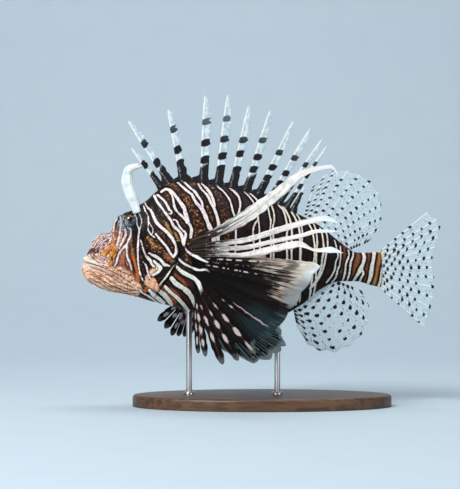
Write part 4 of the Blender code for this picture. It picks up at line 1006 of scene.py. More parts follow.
# Bands between the white lines: nearly black, brown along their middles, with flecks of ochre and cream
maroon = coat.mix(broad.rise(0.35, 0.65), (0.006, 0.003, 0.003), (0.028, 0.009, 0.007))
# Painted sheen: the dark bands turn grey-blue along the top of the back
maroon = coat.mix(below_back.fall(4, 24) * 0.7, maroon, (0.030, 0.025, 0.036))
shoulder = coat.mix(fine.rise(0.3, 0.7), (0.028, 0.007, 0.005), (0.070, 0.018, 0.011))
# Painted sheen: the shoulder band turns paler along the top of the back
shoulder = coat.mix(below_back.fall(6, 28) * 0.7, shoulder, (0.10, 0.034, 0.027))
shoulder = coat.mix(band_centre, NIGHT, shoulder)
head_brown = coat.mix(fine.rise(0.3, 0.75), (0.022, 0.008, 0.006), (0.080, 0.027, 0.013))
head_brown = coat.mix(band_centre, NIGHT, head_brown)
coat.colour = maroon
coat.lay(x_here.fall(-64, -40), shoulder)
coat.lay(on_head, head_brown)
# Painted shade: the bands darken towards the bottom of the chest
shaded_low_chest = (z_here + broad * 12).fall(128, 112) * x_here.between(-104, -96, -50, -40)
coat.lay(shaded_low_chest * 0.65, NIGHT)
speckled = band_centre * (x_here + broad * 10).fall(-42, -12)
speckled = speckled * (z_here + broad * 10).rise(116, 130).most(x_here.fall(-104, -96))
clusters = medium.rise(0.42, 0.58) * speckled
coat.lay(crumbs.rise(0.47, 0.60) * clusters * 0.9, (0.40, 0.15, 0.045))
coat.lay(crumbs.rise(0.58, 0.68) * clusters * 0.8, (0.68, 0.46, 0.28))
rear = coat.mix(fine.rise(0.3, 0.7), (0.14, 0.036, 0.015), (0.30, 0.10, 0.04))
golden = coat.mix(fine.rise(0.3, 0.7), (0.30, 0.11, 0.025), (0.48, 0.21, 0.06))
coat.lay((x_here + broad * 10).rise(66, 76), rear)
coat.lay(x_here.rise(91, 96), golden)
coat.lay(white_edge.fall(1.0, 3.2) * x_here.rise(-60, -40), NIGHT)
crest = below_back.fall(4, 12) * x_here.between(-124, -114, -94, -86)
coat.lay(crest * 0.9, NIGHT)

# The face: rose and rust over the cheek, paler on the snout and salmon down the whole lower jaw
jaw = (z_here + x_here * 0.4 + broad * 5).fall(66, 72)
salmon = coat.mix(crumbs.rise(0.38, 0.72), (0.97, 0.66, 0.46), (0.64, 0.24, 0.13))
low_blots = medium.rise(0.52, 0.66) * z_here.fall(112, 102)
salmon = coat.mix(low_blots * 0.6, salmon, (0.42, 0.13, 0.085))
cheek = coat.mix(crumbs.rise(0.38, 0.66), (0.085, 0.020, 0.010), (0.36, 0.11, 0.055))
snout = coat.mix(medium.rise(0.42, 0.58), (0.84, 0.66, 0.58), (0.34, 0.10, 0.055))
face = coat.mix((x_here + fine * 5).fall(-130, -124), cheek, snout)
face = coat.mix(jaw, face, salmon)
coat.lay(on_face, face)
coat.lay((coat.attribute("salmon") + wander * 2).fall(-1.0, 1.2), salmon)
pale_streams = streams.near(0.5, 0.010, 0.045) * on_face * z_here.rise(112, 122)
strand = pale_streams * (x_here.fall(-130, -122) * 0.7 + 0.2)
coat.lay(strand, (0.90, 0.77, 0.72))
dark_streams = streams.near(0.42, 0.004, 0.022) * on_face
crack = coat.mix(jaw, (0.070, 0.018, 0.012), (0.34, 0.12, 0.08))
coat.lay(dark_streams * 0.7, crack)

# Orange on the snout, red embers down the cheek and ochre behind it
bright = coat.mix(fine.rise(0.3, 0.7), (0.80, 0.34, 0.03), (0.50, 0.13, 0.012))
ember = coat.mix(fine.rise(0.3, 0.7), (0.70, 0.17, 0.025), (0.30, 0.045, 0.010))
orange = coat.mix((x_here + broad * 6).rise(-122, -112), bright, ember)
orange = coat.mix(x_here.rise(-100, -84) * 0.7, orange, (0.10, 0.026, 0.010))
orange = coat.mix(crumbs.rise(0.58, 0.70) * 0.8, orange, (0.72, 0.42, 0.24))
ochre = coat.mix(crumbs.rise(0.40, 0.60), (0.030, 0.012, 0.007), (0.46, 0.26, 0.085))
orange = coat.mix((z_here + broad * 8).rise(130, 138) * x_here.rise(-118, -108), orange, ochre)
coat.lay((coat.attribute("orange") + wander * 1.8).fall(-0.8, 0.6), orange)
dark = coat.mix(crumbs.rise(0.60, 0.72) * z_here.fall(150, 140) * 0.5, NIGHT, (0.11, 0.10, 0.12))
coat.lay((coat.attribute("black") + wander * 1.5).fall(-0.5, 0.6), dark)
behind_eye = from_eye.fall(8, 11) * (x_here - eye_x).rise(-2.5, 0.5)
coat.lay(behind_eye * 0.95, NIGHT)
before_eye = from_eye.fall(8.5, 11) * (x_here - eye_x).fall(-4.5, -2.5)
mottled = coat.mix(crumbs.rise(0.46, 0.56), (0.52, 0.56, 0.58), (0.025, 0.022, 0.025))
coat.lay(before_eye * z_here.fall(159, 163) * 0.9, mottled)

# The white lines: cream with lilac and pink patches, blue behind the eye, green-grey over the chest
white = coat.mix(crumbs.rise(0.40, 0.75), (0.86, 0.78, 0.76), (0.58, 0.42, 0.42))
white = coat.mix(medium.rise(0.50, 0.66) * x_here.fall(-50, -40) * 0.65, white, (0.52, 0.41, 0.48))
white = coat.mix(x_here.between(-15, 10, 50, 66) * 0.7, white, (0.80, 0.75, 0.58))
chest_white = coat.mix(crumbs.rise(0.45, 0.70), (0.80, 0.79, 0.71), (0.46, 0.45, 0.39))
white = coat.mix((z_here + broad * 8).fall(122, 132) * x_here.rise(-100, -90), white, chest_white)
white = coat.mix(from_eye.fall(8, 13) * 0.85, white, (0.25, 0.45, 0.58))
white = coat.mix(white_edge.rise(-0.50, 0.0) * on_head * 0.6, white, (0.56, 0.38, 0.35))
echo = (white_edge - broad).near(1.5, 0.08, 0.32) * fine.rise(0.40, 0.55) * x_here.fall(-114, -108)
coat.lay(echo * 0.75, (0.66, 0.42, 0.36))
outline_dark = coat.mix(on_face, (0.010, 0.005, 0.005), (0.08, 0.020, 0.013))
coat.lay(white_edge.fall(0.1, 0.8) * 0.9, outline_dark)
thread = threads.near(0.5, 0.004, 0.02) * x_here.fall(-112, -104)
coat.lay(thread * 0.6, (0.16, 0.045, 0.025))
lip = (coat.attribute("lips") + (fine - 0.5) * 1.5).fall(1.4, 3.2) * x_here.fall(-142, -131)
lip = lip.most(coat.attribute("lips").fall(3.5, 6.0) * x_here.fall(-149, -143))
lip_colour = coat.mix(crumbs.rise(0.42, 0.66), (1.0, 0.86, 0.70), (0.80, 0.48, 0.34))
coat.lay(lip * 0.85, lip_colour)
drawn = (coat.attribute("brown") + wander * 0.35).fall(-0.15, 0.25)
coat.lay(drawn * 0.9, (0.075, 0.020, 0.012))
coat.lay(white_edge.fall(-0.25, 0.15), white)
# Painted shade: a dark line in the step behind each gill cover's free edge
gill_slit_shade = coat.attribute("gills").near(0.5, 0.2, 0.9)
coat.lay(gill_slit_shade * z_here.between(90, 98, 150, 158) * 0.85, (0.012, 0.006, 0.005))
# The walls inside the mouth are dark red flesh, darkened further as painted shade in the narrow slot
coat.lay(coat.attribute("in_mouth"), (0.16, 0.030, 0.022))
coat.feed(Base_Color=coat.colour, Roughness=0.44 + fine * 0.22)
coat.feed(Coat_Weight=0.04, Coat_Roughness=0.25, Specular_IOR_Level=0.10)
scale_places = {"Vector": coat.place((0.8, 0.8, 1.0)), "Scale": 0.75}
scales = coat.node("TexVoronoi", {"feature": "DISTANCE_TO_EDGE"}, scale_places, "Distance")
on_trunk = x_here.rise(-92, -70)
relief = scales.rise(0.0, 0.35) * on_trunk + crumbs * (0.8 + on_head * 1.4) - (drawn + thread) * 1.2
coat.bump(relief + coat.noise(0.5, 1.0) * 0.4, 0.22)
flesh = ("head", "lower_jaw", "gill_cover_left", "gill_cover_right")
flesh += ("trunk_front", "trunk_rear", "tail_base")
settle(skin, "striped_skin", coat, "body_skin", *flesh)

# Each eye is a wet clear-fronted ball, set in its socket under a loose fold of skin. A wide black pupil
# lies in an iris that is olive above, pale and mottled in front and veined with blue behind, in line with
# the dark band.
GAZE = (0.16, 1.0, 0.04)
PUPIL_RADIUS = 3.2
IRIS_RADIUS = 6.0
# The clear front stands out by this much, up to an angle from the middle of the pupil, in degrees
CORNEA_OUT = 0.5
CORNEA_ANGLE = 46
CORNEA_FADE = 14
for side, sign in SIDES.items():
    eye = ball_at(eye_x, sign * eye_out, eye_z, EYE_RADIUS, 64, 40)
    gaze = unit(np.multiply(GAZE, (1, sign, 1)))
    bpy.ops.object.transform_apply(location=False, rotation=True, scale=True)
    direction = unit(points_of(eye))
    off_axis = np.degrees(np.arccos(np.clip(direction @ gaze, -1, 1)))
    cornea = CORNEA_OUT * smooth_step((CORNEA_ANGLE - off_axis) / CORNEA_FADE)
    eye_points = direction * (EYE_RADIUS + cornea)[:, None] + [eye_x, sign * eye_out, eye_z]
    eye.location = (0, 0, 0)
    move_points(eye, eye_points)
    store(eye, "from_pupil", np.radians(off_axis) * EYE_RADIUS)
    store(eye, "forwards", eye_x - eye_points[:, 0])
    store(eye, "upwards", eye_points[:, 2] - eye_z)
    bpy.ops.object.shade_smooth()
    wet_eye = Finish("wet_eye_" + side)
    from_pupil = wet_eye.attribute("from_pupil")
    forwards = wet_eye.attribute("forwards")
    streaks = wet_eye.noise(0.8, 2.0)
    veins = streaks.near(0.5, 0.02, 0.06)
    wet_eye.colour = wet_eye.mix(veins, (0.006, 0.008, 0.010), (0.15, 0.31, 0.40))
    pale_front = wet_eye.mix(streaks.rise(0.42, 0.56), (0.40, 0.44, 0.46), (0.02, 0.02, 0.02))
    wet_eye.lay(forwards.rise(1.0, 3.0), pale_front)
    olive = wet_eye.mix(streaks.rise(0.3, 0.7), (0.03, 0.024, 0.008), (0.17, 0.14, 0.04))
    wet_eye.lay(wet_eye.attribute("upwards").rise(0.5, 2.5), olive)
    ring = from_pupil.near(PUPIL_RADIUS + 0.25, 0.1, 0.35)
    wet_eye.lay(ring * 0.4, (0.34, 0.28, 0.10))
    pupil = (from_pupil + streaks * 0.3).fall(PUPIL_RADIUS, PUPIL_RADIUS + 0.3)
    wet_eye.lay(pupil, (0.004, 0.004, 0.005))
    rim = from_pupil.rise(IRIS_RADIUS, IRIS_RADIUS + 0.8)
    wet_eye.lay(rim, (0.03, 0.02, 0.015))
    wet_eye.feed(Base_Color=wet_eye.colour, Roughness=0.08 + streaks * 0.04)
    wet_eye.feed(Coat_Weight=1.0, Coat_Roughness=0.02)
    settle(eye, "wet_eye_" + side, wet_eye, "eye", "eye_" + side)

# Soft blades of skin: a broad white feeler with a ragged edge stands over each eye, a small dark tag
# hangs at each nostril and a tan flap at each cheek. They grow out of the skin, cupped across and
# gently rippled.
FEELER = [
    (-105.5, 10.5, 164.0, 3.2), (-108.0, 12.0, 171.0, 3.6), (-112.2, 14.5, 181.5, 4.0),
    (-114.6, 16.0, 191.0, 4.1), (-114.0, 17.0, 199.0, 3.8), (-110.0, 17.5, 202.8, 2.8),
    (-106.0, 17.5, 204.0, 1.7), (-102.9, 17.0, 204.6, 0.6),
]
FEELER_THICK = 1.3
SNOUT_TAG = [
    (-140.5, 8.0, 133.0, 1.2), (-143.0, 11.5, 132.6, 1.5), (-145.5, 13.0, 131.2, 1.2),
    (-147.0, 13.0, 129.0, 0.5),
]
CHEEK_FLAP = [
    (-97.5, 15.0, 109.5, 2.0), (-93.0, 20.5, 107.0, 3.0), (-89.8, 23.5, 103.0, 2.8),
    (-87.4, 24.5, 99.0, 0.8),
]
TAG_THICK = 0.55
BLADE_CUP = 0.9
BLADE_WAVE = 0.4
BLADE_WAVE_SIZE = 9.0
FRAY_SIZE = 2.6
THICKNESS_LEVELS = 60


def grid_piece(columns, rows):
    """A flat grid to be shaped, with each point's column and row."""
    clear_selection()
    bpy.ops.mesh.primitive_grid_add(x_subdivisions=columns - 1, y_subdivisions=rows - 1, size=2)
    piece = bpy.context.object
    flat = points_of(piece)
    column = np.rint((flat[:, 0] + 1) / 2 * (columns - 1)).astype(int)
    row = np.rint((flat[:, 1] + 1) / 2 * (rows - 1)).astype(int)
    return piece, column, row


def own_map(piece, u, v):
    """Lays the piece's UV map from values at its points."""
    corner = np.empty(len(piece.data.loops), np.int32)
    piece.data.loops.foreach_get("vertex_index", corner)
    pairs = np.stack([u[corner], v[corner]], axis=-1).astype(np.float32)
    piece.data.uv_layers.active.data.foreach_set("uv", pairs.ravel())


def thicken(piece, half):
    """Gives a sheet its two faces, with a half thickness for each point, in millimetres."""
    select_only(piece)
    group = piece.vertex_groups.new(name="thickness")
    levels = np.clip(np.rint(half / half.max() * THICKNESS_LEVELS), 1, THICKNESS_LEVELS).astype(int)
    for level in np.unique(levels):
        group.add(np.flatnonzero(levels == level).tolist(), level / THICKNESS_LEVELS, "REPLACE")
    solid = piece.modifiers.new("thickness", "SOLIDIFY")
    solid.thickness = 2 * half.max() * MM
    solid.offset = 0
    solid.vertex_group = group.name
    bpy.ops.object.modifier_apply(modifier="thickness")
    piece.vertex_groups.clear()


def soft_blade(path, side, thick, columns, rows, ragged, seed):
    piece, column, row = grid_piece(columns, rows)
    t, f = row / (rows - 1), column / (columns - 1) * 2 - 1
    path = np.multiply(path, (1, side, 1, 1))
    line = along(path[:, :3], t)
    width = curve(np.linspace(0, 1, len(path)), path[:, 3], t)
    spine = along(path[:, :3], np.linspace(0, 1, rows))
    across = unit(np.cross(unit(np.gradient(spine, axis=0)), [0, 1, 0]))[row]
    fray = ripples(np.stack([t * 20, np.sign(f) * 3, 0 * t], axis=-1), FRAY_SIZE, seed)
    fray = 1 + ragged * fray * np.abs(f) ** 3
    points = line + across * (f * width * fray)[:, None]
    points[:, 1] += side * BLADE_CUP * f**2 + BLADE_WAVE * ripples(points, BLADE_WAVE_SIZE, seed + 1)
    move_points(piece, points)
    own_map(piece, f / 2 + 0.5, t)
    thicken(piece, thick * (0.35 + 0.65 * (1 - f**2) ** 0.5) * (1 - 0.5 * t))
    face_outwards(piece)
    bpy.ops.object.shade_smooth()
    return piece


white_feeler = Finish("white_feeler")
down_feeler = white_feeler.own_place()[1]
mottle = white_feeler.noise(2.4, 3.0)
bands = (down_feeler * 26 + mottle * 2.5).wave() * 0.5 + 0.5
grey = bands.rise(0.5, 1.0) * mottle.rise(0.3, 0.65)
white_feeler.colour = white_feeler.mix(grey * 0.45, (0.84, 0.88, 0.87), (0.40, 0.44, 0.48))
white_feeler.lay(mottle.rise(0.55, 0.8) * 0.5, (0.60, 0.68, 0.68))
white_feeler.feed(Base_Color=white_feeler.colour, Roughness=0.45 + mottle * 0.15, Subsurface_Weight=0.15)
white_feeler.bump(white_feeler.noise(1.6, 2.0, (1, 1, 0.3)), 0.15)
TAG_FINISHES = {
    "dark_tag": (0.9, 2.0, 0.4, 0.7, (0.02, 0.01, 0.008), (0.20, 0.08, 0.05), 0.45, 0.15),
    "tan_flap": (1.2, 3.0, 0.35, 0.65, (0.70, 0.42, 0.26), (0.42, 0.15, 0.06), 0.42, 0.2),
}
tags = {}
for name, (size, detail, start, end, first, second, rough, depth) in TAG_FINISHES.items():
    tags[name] = Finish(name)
    grain = tags[name].noise(size, detail)
    tags[name].feed(Base_Color=tags[name].mix(grain.rise(start, end), first, second))
    tags[name].feed(Roughness=rough + grain * 0.2)
    tags[name].bump(grain, depth)
for side, sign in SIDES.items():
    feeler = soft_blade(FEELER, sign, FEELER_THICK, 13, 60, 0.04, 20)
    settle(feeler, "soft_feeler_" + side, white_feeler, "feeler", "feeler_" + side)
    tag = soft_blade(SNOUT_TAG, sign, TAG_THICK, 9, 24, 0.2, 24)
    settle(tag, "nose_tag_" + side, tags["dark_tag"], "dark_tag", "snout_tag_" + side)
    flap = soft_blade(CHEEK_FLAP, sign, TAG_THICK, 11, 28, 0.12, 28)
    settle(flap, "tan_flap_" + side, tags["tan_flap"], "cheek_flap", "cheek_flap_" + side)

# The first fin of the back is a row of stiff hollow spines, each a tapered needle with its own narrow
# membrane behind it. The membranes meet only at the foot, in black scalloped skin, and fray at the tips.
ROOT_SINK = 3.0
BACK_SPINES = [
    (-85.5, -39.0, 43.0, 4.2), (-79.5, -34.0, 64.0, 5.6), (-68.0, -12.5, 63.0, 6.2),
    (-51.5, 1.0, 74.0, 7.8), (-38.8, 5.8, 77.0, 7.4), (-26.8, 11.0, 71.5, 6.6),
    (-14.8, 16.0, 71.5, 6.4), (-4.4, 24.5, 69.0, 6.0), (5.4, 29.0, 70.0, 5.4),
    (13.4, 33.0, 66.0, 4.6), (20.0, 32.5, 62.0, 4.2), (25.5, 24.0, 22.0, 3.0),
]
SPINE_FRONT = 1.1
SPINE_FLARE = 4.0
SPINE_RADIUS = 0.85
SPINE_WEB = 6.5
SPINE_BEND = 1.5
FLARE_HEIGHT = 7.0
# Heights of the dark ovals on each spine's membrane, above its foot
SPINE_SPOTS = [
    (11, 24), (9, 19.5, 39), (15, 27, 45), (19, 33.5, 51.5), (14, 25, 39.5, 57), (16, 30, 42),
    (20, 31, 46), (17, 27, 41), (17, 27, 42), (10, 19, 28, 41), (13, 22, 33, 45), (8, 15),
]
SPOT_HALF = 4.3
SPOT_SLANT = 0.25
SPOT_OVERHANG = 1.2
MEMBRANE = 0.26
RAY_TAPER = 0.55
RAY_SHOULDER = 0.9
# How much of the room between two free rays their edges may fill, and the length over which a web ends
FREE_SHARE = 0.86
WEB_NOTCH = 2.0
# A distance that lies past every spot
FAR = 9.0
RAY_FRACTIONS = (-0.5, -0.4, -0.3, -0.19, -0.1, -0.04, 0.0, 0.04, 0.1, 0.19, 0.3, 0.4, 0.5)


def at_shares(lines, ray, share):
    """Points at shares of the length of each chosen ray's finely stepped line."""
    steps = lines.shape[1] - 1
    place = np.clip(share, 0, 1) * steps
    first = np.clip(np.floor(place).astype(int), 0, steps - 1)
    rest = (place - first)[:, None]
    return lines[ray, first] * (1 - rest) + lines[ray, first + 1] * rest


def rayed_sheet(lines, web, front, rear, rows, ray_half, billow=0.0, scallop=0.0, row_power=1.0):
    """A fin as one sheet with a raised ray down each line, and the facts of each point for its markings.

    lines holds finely stepped points, root to tip, for each ray. web is the share of the length up to which
    the membrane joins each ray to the next. front and rear are the widths of free membrane beside a ray.
    """
    rays, fractions = len(lines), np.array(RAY_FRACTIONS)
    wide = len(fractions)
    piece, column, row = grid_piece(rays * wide, rows)
    ray, f = column // wide, fractions[column % wide]
    share = 1 - (1 - row / (rows - 1)) ** row_power
    t = share * (1 - scallop * (2 * f) ** 2)
    own = at_shares(lines, ray, t)
    other = np.where(f > 0, ray + 1, ray - 1)
    inside = (other >= 0) & (other < rays)
    next_one = at_shares(lines, np.clip(other, 0, rays - 1), t)
    tangent = unit(at_shares(lines, ray, t + 0.01) - at_shares(lines, ray, t - 0.01))
    toward = next_one - own
    alone = np.where(inside, other, 2 * ray - other)
    mirrored_one = at_shares(lines, np.clip(alone, 0, rays - 1), t)
    toward = np.where(inside[:, None], toward, own - mirrored_one)
    toward = toward / 2
    square = toward - (toward * tangent).sum(-1, keepdims=True) * tangent
    reach = np.maximum(np.linalg.norm(square, axis=-1), 1e-3)
    square = unit(square)
    length = np.linalg.norm(np.diff(lines, axis=1), axis=-1).sum(1)[ray]
    height = share * length
    free = np.where(f > 0, rear(ray, share, height), front(ray, share, height))
    free = np.where(inside, np.minimum(free, FREE_SHARE * reach), free)
    pair = np.where(f > 0, ray, ray - 1)
    limit = np.where(inside, np.asarray(web)[np.clip(pair, 0, rays - 2)], -1.0)
    joined = smooth_step((limit - share) * length / WEB_NOTCH + 1)
    open_share = np.where(share < limit, 1.0, joined)
    full = toward * (2 * np.abs(f))[:, None]
    short = square * (free * 2 * np.abs(f))[:, None]
    points = own + full * open_share[:, None] + short * (1 - open_share)[:, None]
    face = unit(np.cross(tangent, square * np.sign(f + 1e-9)[:, None]))
    pair_face = np.zeros_like(face)
    for p in range(-1, rays):
        rows_here = pair == p
        if rows_here.any():
            mean = np.zeros((rows, 3))
            np.add.at(mean, row[rows_here], face[rows_here])
            pair_face[rows_here] = unit(mean)[row[rows_here]]
    sag = billow * (2 * np.abs(f)) ** 1.5 * open_share * np.sin(math.pi * np.clip(share * 1.1, 0, 1)) ** 0.5
    points = points + pair_face * (sag * inside)[:, None]
    away = np.abs(2 * f) * (reach * open_share + free * (1 - open_share))
    taper = 1 - RAY_TAPER * share**2
    half = MEMBRANE + (ray_half * taper - MEMBRANE) * np.exp(-((away / (RAY_SHOULDER * ray_half)) ** 2))
    move_points(piece, points)
    own_map(piece, (ray + 0.5 + f) / rays, share)
    away = np.sign(f) * away
    facts = {"ray": ray, "f": f, "share": share, "height": height, "away": away, "length": length}
    return piece, half, facts, column


def close_sheet(piece, half, column, wide=len(RAY_FRACTIONS)):
    """Takes out the strips between rays, joins what touches and gives the fin its thickness."""
    store(piece, "half", half)
    select_only(piece)
    doomed = [len({column[i] // wide for i in polygon.vertices}) > 1 for polygon in piece.data.polygons]
    set_mode("EDIT")
    bpy.ops.mesh.select_mode(type="FACE")
    bpy.ops.mesh.select_all(action="DESELECT")
    set_mode("OBJECT")
    piece.data.polygons.foreach_set("select", doomed)
    set_mode("EDIT")
    bpy.ops.mesh.delete(type="ONLY_FACE")
    bpy.ops.mesh.select_mode(type="VERT")
    bpy.ops.mesh.select_all(action="SELECT")
    bpy.ops.mesh.remove_doubles(threshold=2e-6)
    bpy.ops.mesh.delete_loose()
    set_mode("OBJECT")
    kept = np.empty(len(piece.data.vertices), np.float32)
    piece.data.attributes["half"].data.foreach_get("value", kept)
    thicken(piece, kept.astype(float))
    piece.data.attributes.remove(piece.data.attributes["half"])
    face_outwards(piece)
    bpy.ops.object.shade_smooth()


def blunt(share, start, depth=0.97):
    """A width that stays full and then rounds off to a blunt tip."""
    return np.sqrt(1 - depth * np.clip((share - start) / (1 - start), 0, 1) ** 2)


def bowed(roots, ends, bow):
    """Finely stepped lines from roots to ends, which bow out by most in the middle."""
    t = fine_steps[None, :, None]
    return roots[:, None] * (1 - t) + ends[:, None] * t + np.atleast_2d(bow)[:, None] * 4 * t * (1 - t)


fine_steps = np.linspace(0, 1, 201)
spine_lines = []
for root_x, lean, length, _ in BACK_SPINES:
    lean = math.radians(lean)
    direction = np.array([math.sin(lean), 0, math.cos(lean)])
    foot = np.array([root_x, 0, float(back(root_x))]) - direction * ROOT_SINK
    heights = fine_steps * (length + ROOT_SINK)
    spine_lines.append(foot + np.outer(heights, direction) + np.outer(fine_steps**2, [SPINE_BEND, 0, 0]))
spine_lines = np.array(spine_lines)
spine_widths = np.array([spine[3] for spine in BACK_SPINES])
spine_lengths = np.array([spine[2] for spine in BACK_SPINES]) + ROOT_SINK


def spine_flare(height):
    return SPINE_FLARE * np.exp(-height / FLARE_HEIGHT)


def spine_front(ray, share, height):
    return SPINE_FRONT * blunt(share, 0.55) + spine_flare(height)


def spine_rear(ray, share, height):
    ragged = 1 + 0.12 * np.sin(height * 0.75 + ray * 2.1) + 0.38 * np.sin(height * 1.7 + ray) * share**3
    return (spine_widths[ray] - SPINE_FRONT) * blunt(share, 0.55) * ragged + spine_flare(height)


spiny, half, facts, column = rayed_sheet(
    spine_lines, SPINE_WEB / spine_lengths[:-1], spine_front, spine_rear, 96, SPINE_RADIUS
)
spot = np.full(len(half), FAR)
height, away, ray = facts["height"] - ROOT_SINK, facts["away"], facts["ray"]
for number, heights in enumerate(SPINE_SPOTS):
    here = ray == number
    for place in heights:
        size = SPOT_HALF - 0.02 * place - 0.1 * number
        middle = spine_widths[number] / 2 - SPINE_FRONT
        reach = spine_widths[number] / 2 + SPOT_OVERHANG
        ring = np.hypot((height - place - SPOT_SLANT * away) / size, (away - middle) / reach) - 1
        spot = np.where(here, np.minimum(spot, ring * size), spot)
for name, values in (("spot", spot), ("height", height), ("away", away)):
    store(spiny, name, values)
close_sheet(spiny, half, column)

banded_spines = Finish("banded_spines")
grain = banded_spines.noise(0.9, 2.0)
smear = banded_spines.noise(4.0, 2.0)
height = banded_spines.attribute("height")
away = banded_spines.attribute("away")
on_needle = abs(away).fall(0.45, 0.95)
banded_spines.colour = banded_spines.mix(smear.rise(0.35, 0.65), (0.74, 0.85, 0.90), (0.46, 0.58, 0.66))
banded_spines.lay(on_needle * 0.7, (0.80, 0.78, 0.72))
dark_foot = (height + grain * 5 - away * 0.8).fall(14.5, 18.0)
dark_spot = (banded_spines.attribute("spot") + (grain - 0.5) * 0.5).fall(-0.4, 0.4)
ink = dark_foot.most(dark_spot)
faded = banded_spines.mix(height.rise(34, 58), (0.006, 0.006, 0.009), (0.085, 0.115, 0.130))
banded_spines.lay(ink, faded)
streak = on_needle * dark_foot * (smear * 7).part().rise(0.6, 0.7)
banded_spines.lay(streak * 0.3, (0.75, 0.72, 0.68))
banded_spines.feed(Base_Color=banded_spines.colour, Roughness=0.4 + grain * 0.2, Specular_IOR_Level=0.25)
banded_spines.feed(Alpha=(0.66 + on_needle * 0.34).most(ink * 0.97))
banded_spines.bump(banded_spines.noise(0.6, 2.0, (1, 1, 0.25)), 0.12)
settle(spiny, "spiny_back_fin", banded_spines, "spines", "back_fin_spines")

# The soft fin of the back, the anal fin and the tail fin are clear membranes stretched on thin jointed
# rays, with rows of dark spots along every ray. Each stands up in the fish's middle plane.
SOFT_BACK_ROOT = (35.5, 71.5)
SOFT_BACK_MARGIN = [
    (44.0, 188.0), (62.0, 201.0), (86.0, 196.0), (101.0, 175.0), (102.0, 156.0), (92.0, 141.0),
]
ANAL_ROOT = (27.0, 59.0)
ANAL_MARGIN = [
    (31.0, 65.0), (43.0, 48.5), (61.0, 45.5), (77.0, 53.0), (89.0, 67.0), (91.5, 82.0),
    (85.0, 97.5),
]
TAIL_MARGIN = [
    (141.0, 165.0), (152.0, 154.0), (147.5, 136.0), (144.5, 118.0), (147.0, 103.0), (144.0, 86.0),
    (138.5, 67.0),
]
TAIL_ROOT_X = 98.0
TAIL_INSET = 1.5
CLEAR_RAY = 0.55
EDGE_FRINGE = 1.0
# A web that joins two rays as far as their tips
FULL_WEB = 1.01
CURL_DEPTH = 1.2


def in_middle(xz):
    return np.stack([xz[:, 0], 0 * xz[:, 0], xz[:, 1]], axis=-1)


def clear_fin(name, node_name, roots, margin, bow, rows, spots, spot_size, root_yellow):
    """A see-through fan with its own spotted finish."""
    rays = len(roots)
    share = np.linspace(0, 1, rays)
    bows = np.outer(np.sin(share * math.pi), bow)
    lines = bowed(in_middle(roots), in_middle(along(margin, share)), in_middle(bows))
    curl = np.sin(lines[..., 0] * 0.11 + lines[..., 2] * 0.07)
    lines[..., 1] += CURL_DEPTH * curl * fine_steps**1.5

    def fringe(ray, share, height):
        return EDGE_FRINGE * blunt(share, 0.8)

    piece, half, facts, column = rayed_sheet(
        lines, [FULL_WEB] * (rays - 1), fringe, fringe, rows, CLEAR_RAY, billow=0.25, scallop=0.035
    )
    for fact in ("away", "height"):
        store(piece, fact, facts[fact])
    close_sheet(piece, half, column)
    finish = Finish(name)
    u, v = finish.own_place(rays)
    ray_number = u.whole()
    away, height = finish.attribute("away"), finish.attribute("height")
    step = v * spots + ray_number.part() + (ray_number * 0.37).part() * 0.8
    pair = finish.node("CombineXYZ", {}, {"X": ray_number, "Y": step.whole()}, "Vector")
    chance = finish.node("TexWhiteNoise", {"noise_dimensions": "2D"}, {"Vector": pair}, "Value")
    along_spot = (step.part() - 0.5) / spots * height.most(1.0) / v.most(0.02)
    across_spot = (away + (chance - 0.5) * 0.7) * 0.75
    far = (along_spot * along_spot + across_spot * across_spot).root()
    ragged = finish.noise(0.8, 2.0)
    size = spot_size * (0.75 + chance * 0.5)
    spot = (far - size + (ragged - 0.5) * 0.9).fall(-0.15, 0.3)
    spot = spot * v.rise(0.04, 0.12) * chance.rise(0.02, 0.08)
    ray_line = abs(away).fall(0.22, 0.55)
    joint = (height * 2.2).wave() * 0.5 + 0.5
    clear_colour = finish.mix(finish.noise(5.0, 2.0), (0.66, 0.80, 0.86), (0.50, 0.68, 0.77))
    ray_colour = finish.mix(joint * 0.4, (0.86, 0.90, 0.90), (0.62, 0.66, 0.66))
    finish.colour = finish.mix(ray_line, clear_colour, ray_colour)
    finish.lay(v.fall(0.05, 0.14) * root_yellow, (0.80, 0.70, 0.42))
    finish.lay(spot, (0.008, 0.007, 0.008))
    finish.feed(Base_Color=finish.colour, Roughness=0.45 + ragged * 0.15, Specular_IOR_Level=0.2)
    edge = v.rise(0.93, 0.99) * 0.25
    finish.feed(Alpha=(0.26 + ray_line * 0.68 + edge).most(spot * 0.96).most(v.fall(0.02, 0.16) * 0.95))
    finish.bump(joint * ray_line + finish.noise(2.0, 1.0) * 0.3, 0.05)
    settle(piece, name, finish, "clear_fin", node_name)


root_x = np.linspace(*SOFT_BACK_ROOT, 11)
soft_roots = np.stack([root_x, back(root_x) - ROOT_SINK], axis=-1)
clear_fin("soft_back_fin", "back_fin_soft", soft_roots, SOFT_BACK_MARGIN, (-1.5, 2.0), 72, 9.0, 0.9, 0.0)
root_x = np.linspace(*ANAL_ROOT, 9)
anal_roots = np.stack([root_x, belly(root_x) + ROOT_SINK], axis=-1)
clear_fin("spotted_anal_fin", "anal_fin", anal_roots, ANAL_MARGIN, (0.0, 0.0), 60, 7.0, 1.25, 0.0)
root_z = np.linspace(float(back(TAIL_ROOT_X)) - TAIL_INSET, float(belly(TAIL_ROOT_X)) + TAIL_INSET, 13)
tail_roots = np.stack([np.full(13, TAIL_ROOT_X), root_z], axis=-1)
clear_fin("spotted_tail_fin", "tail_fin", tail_roots, TAIL_MARGIN, (0.0, 0.0), 64, 7.0, 1.05, 0.9)

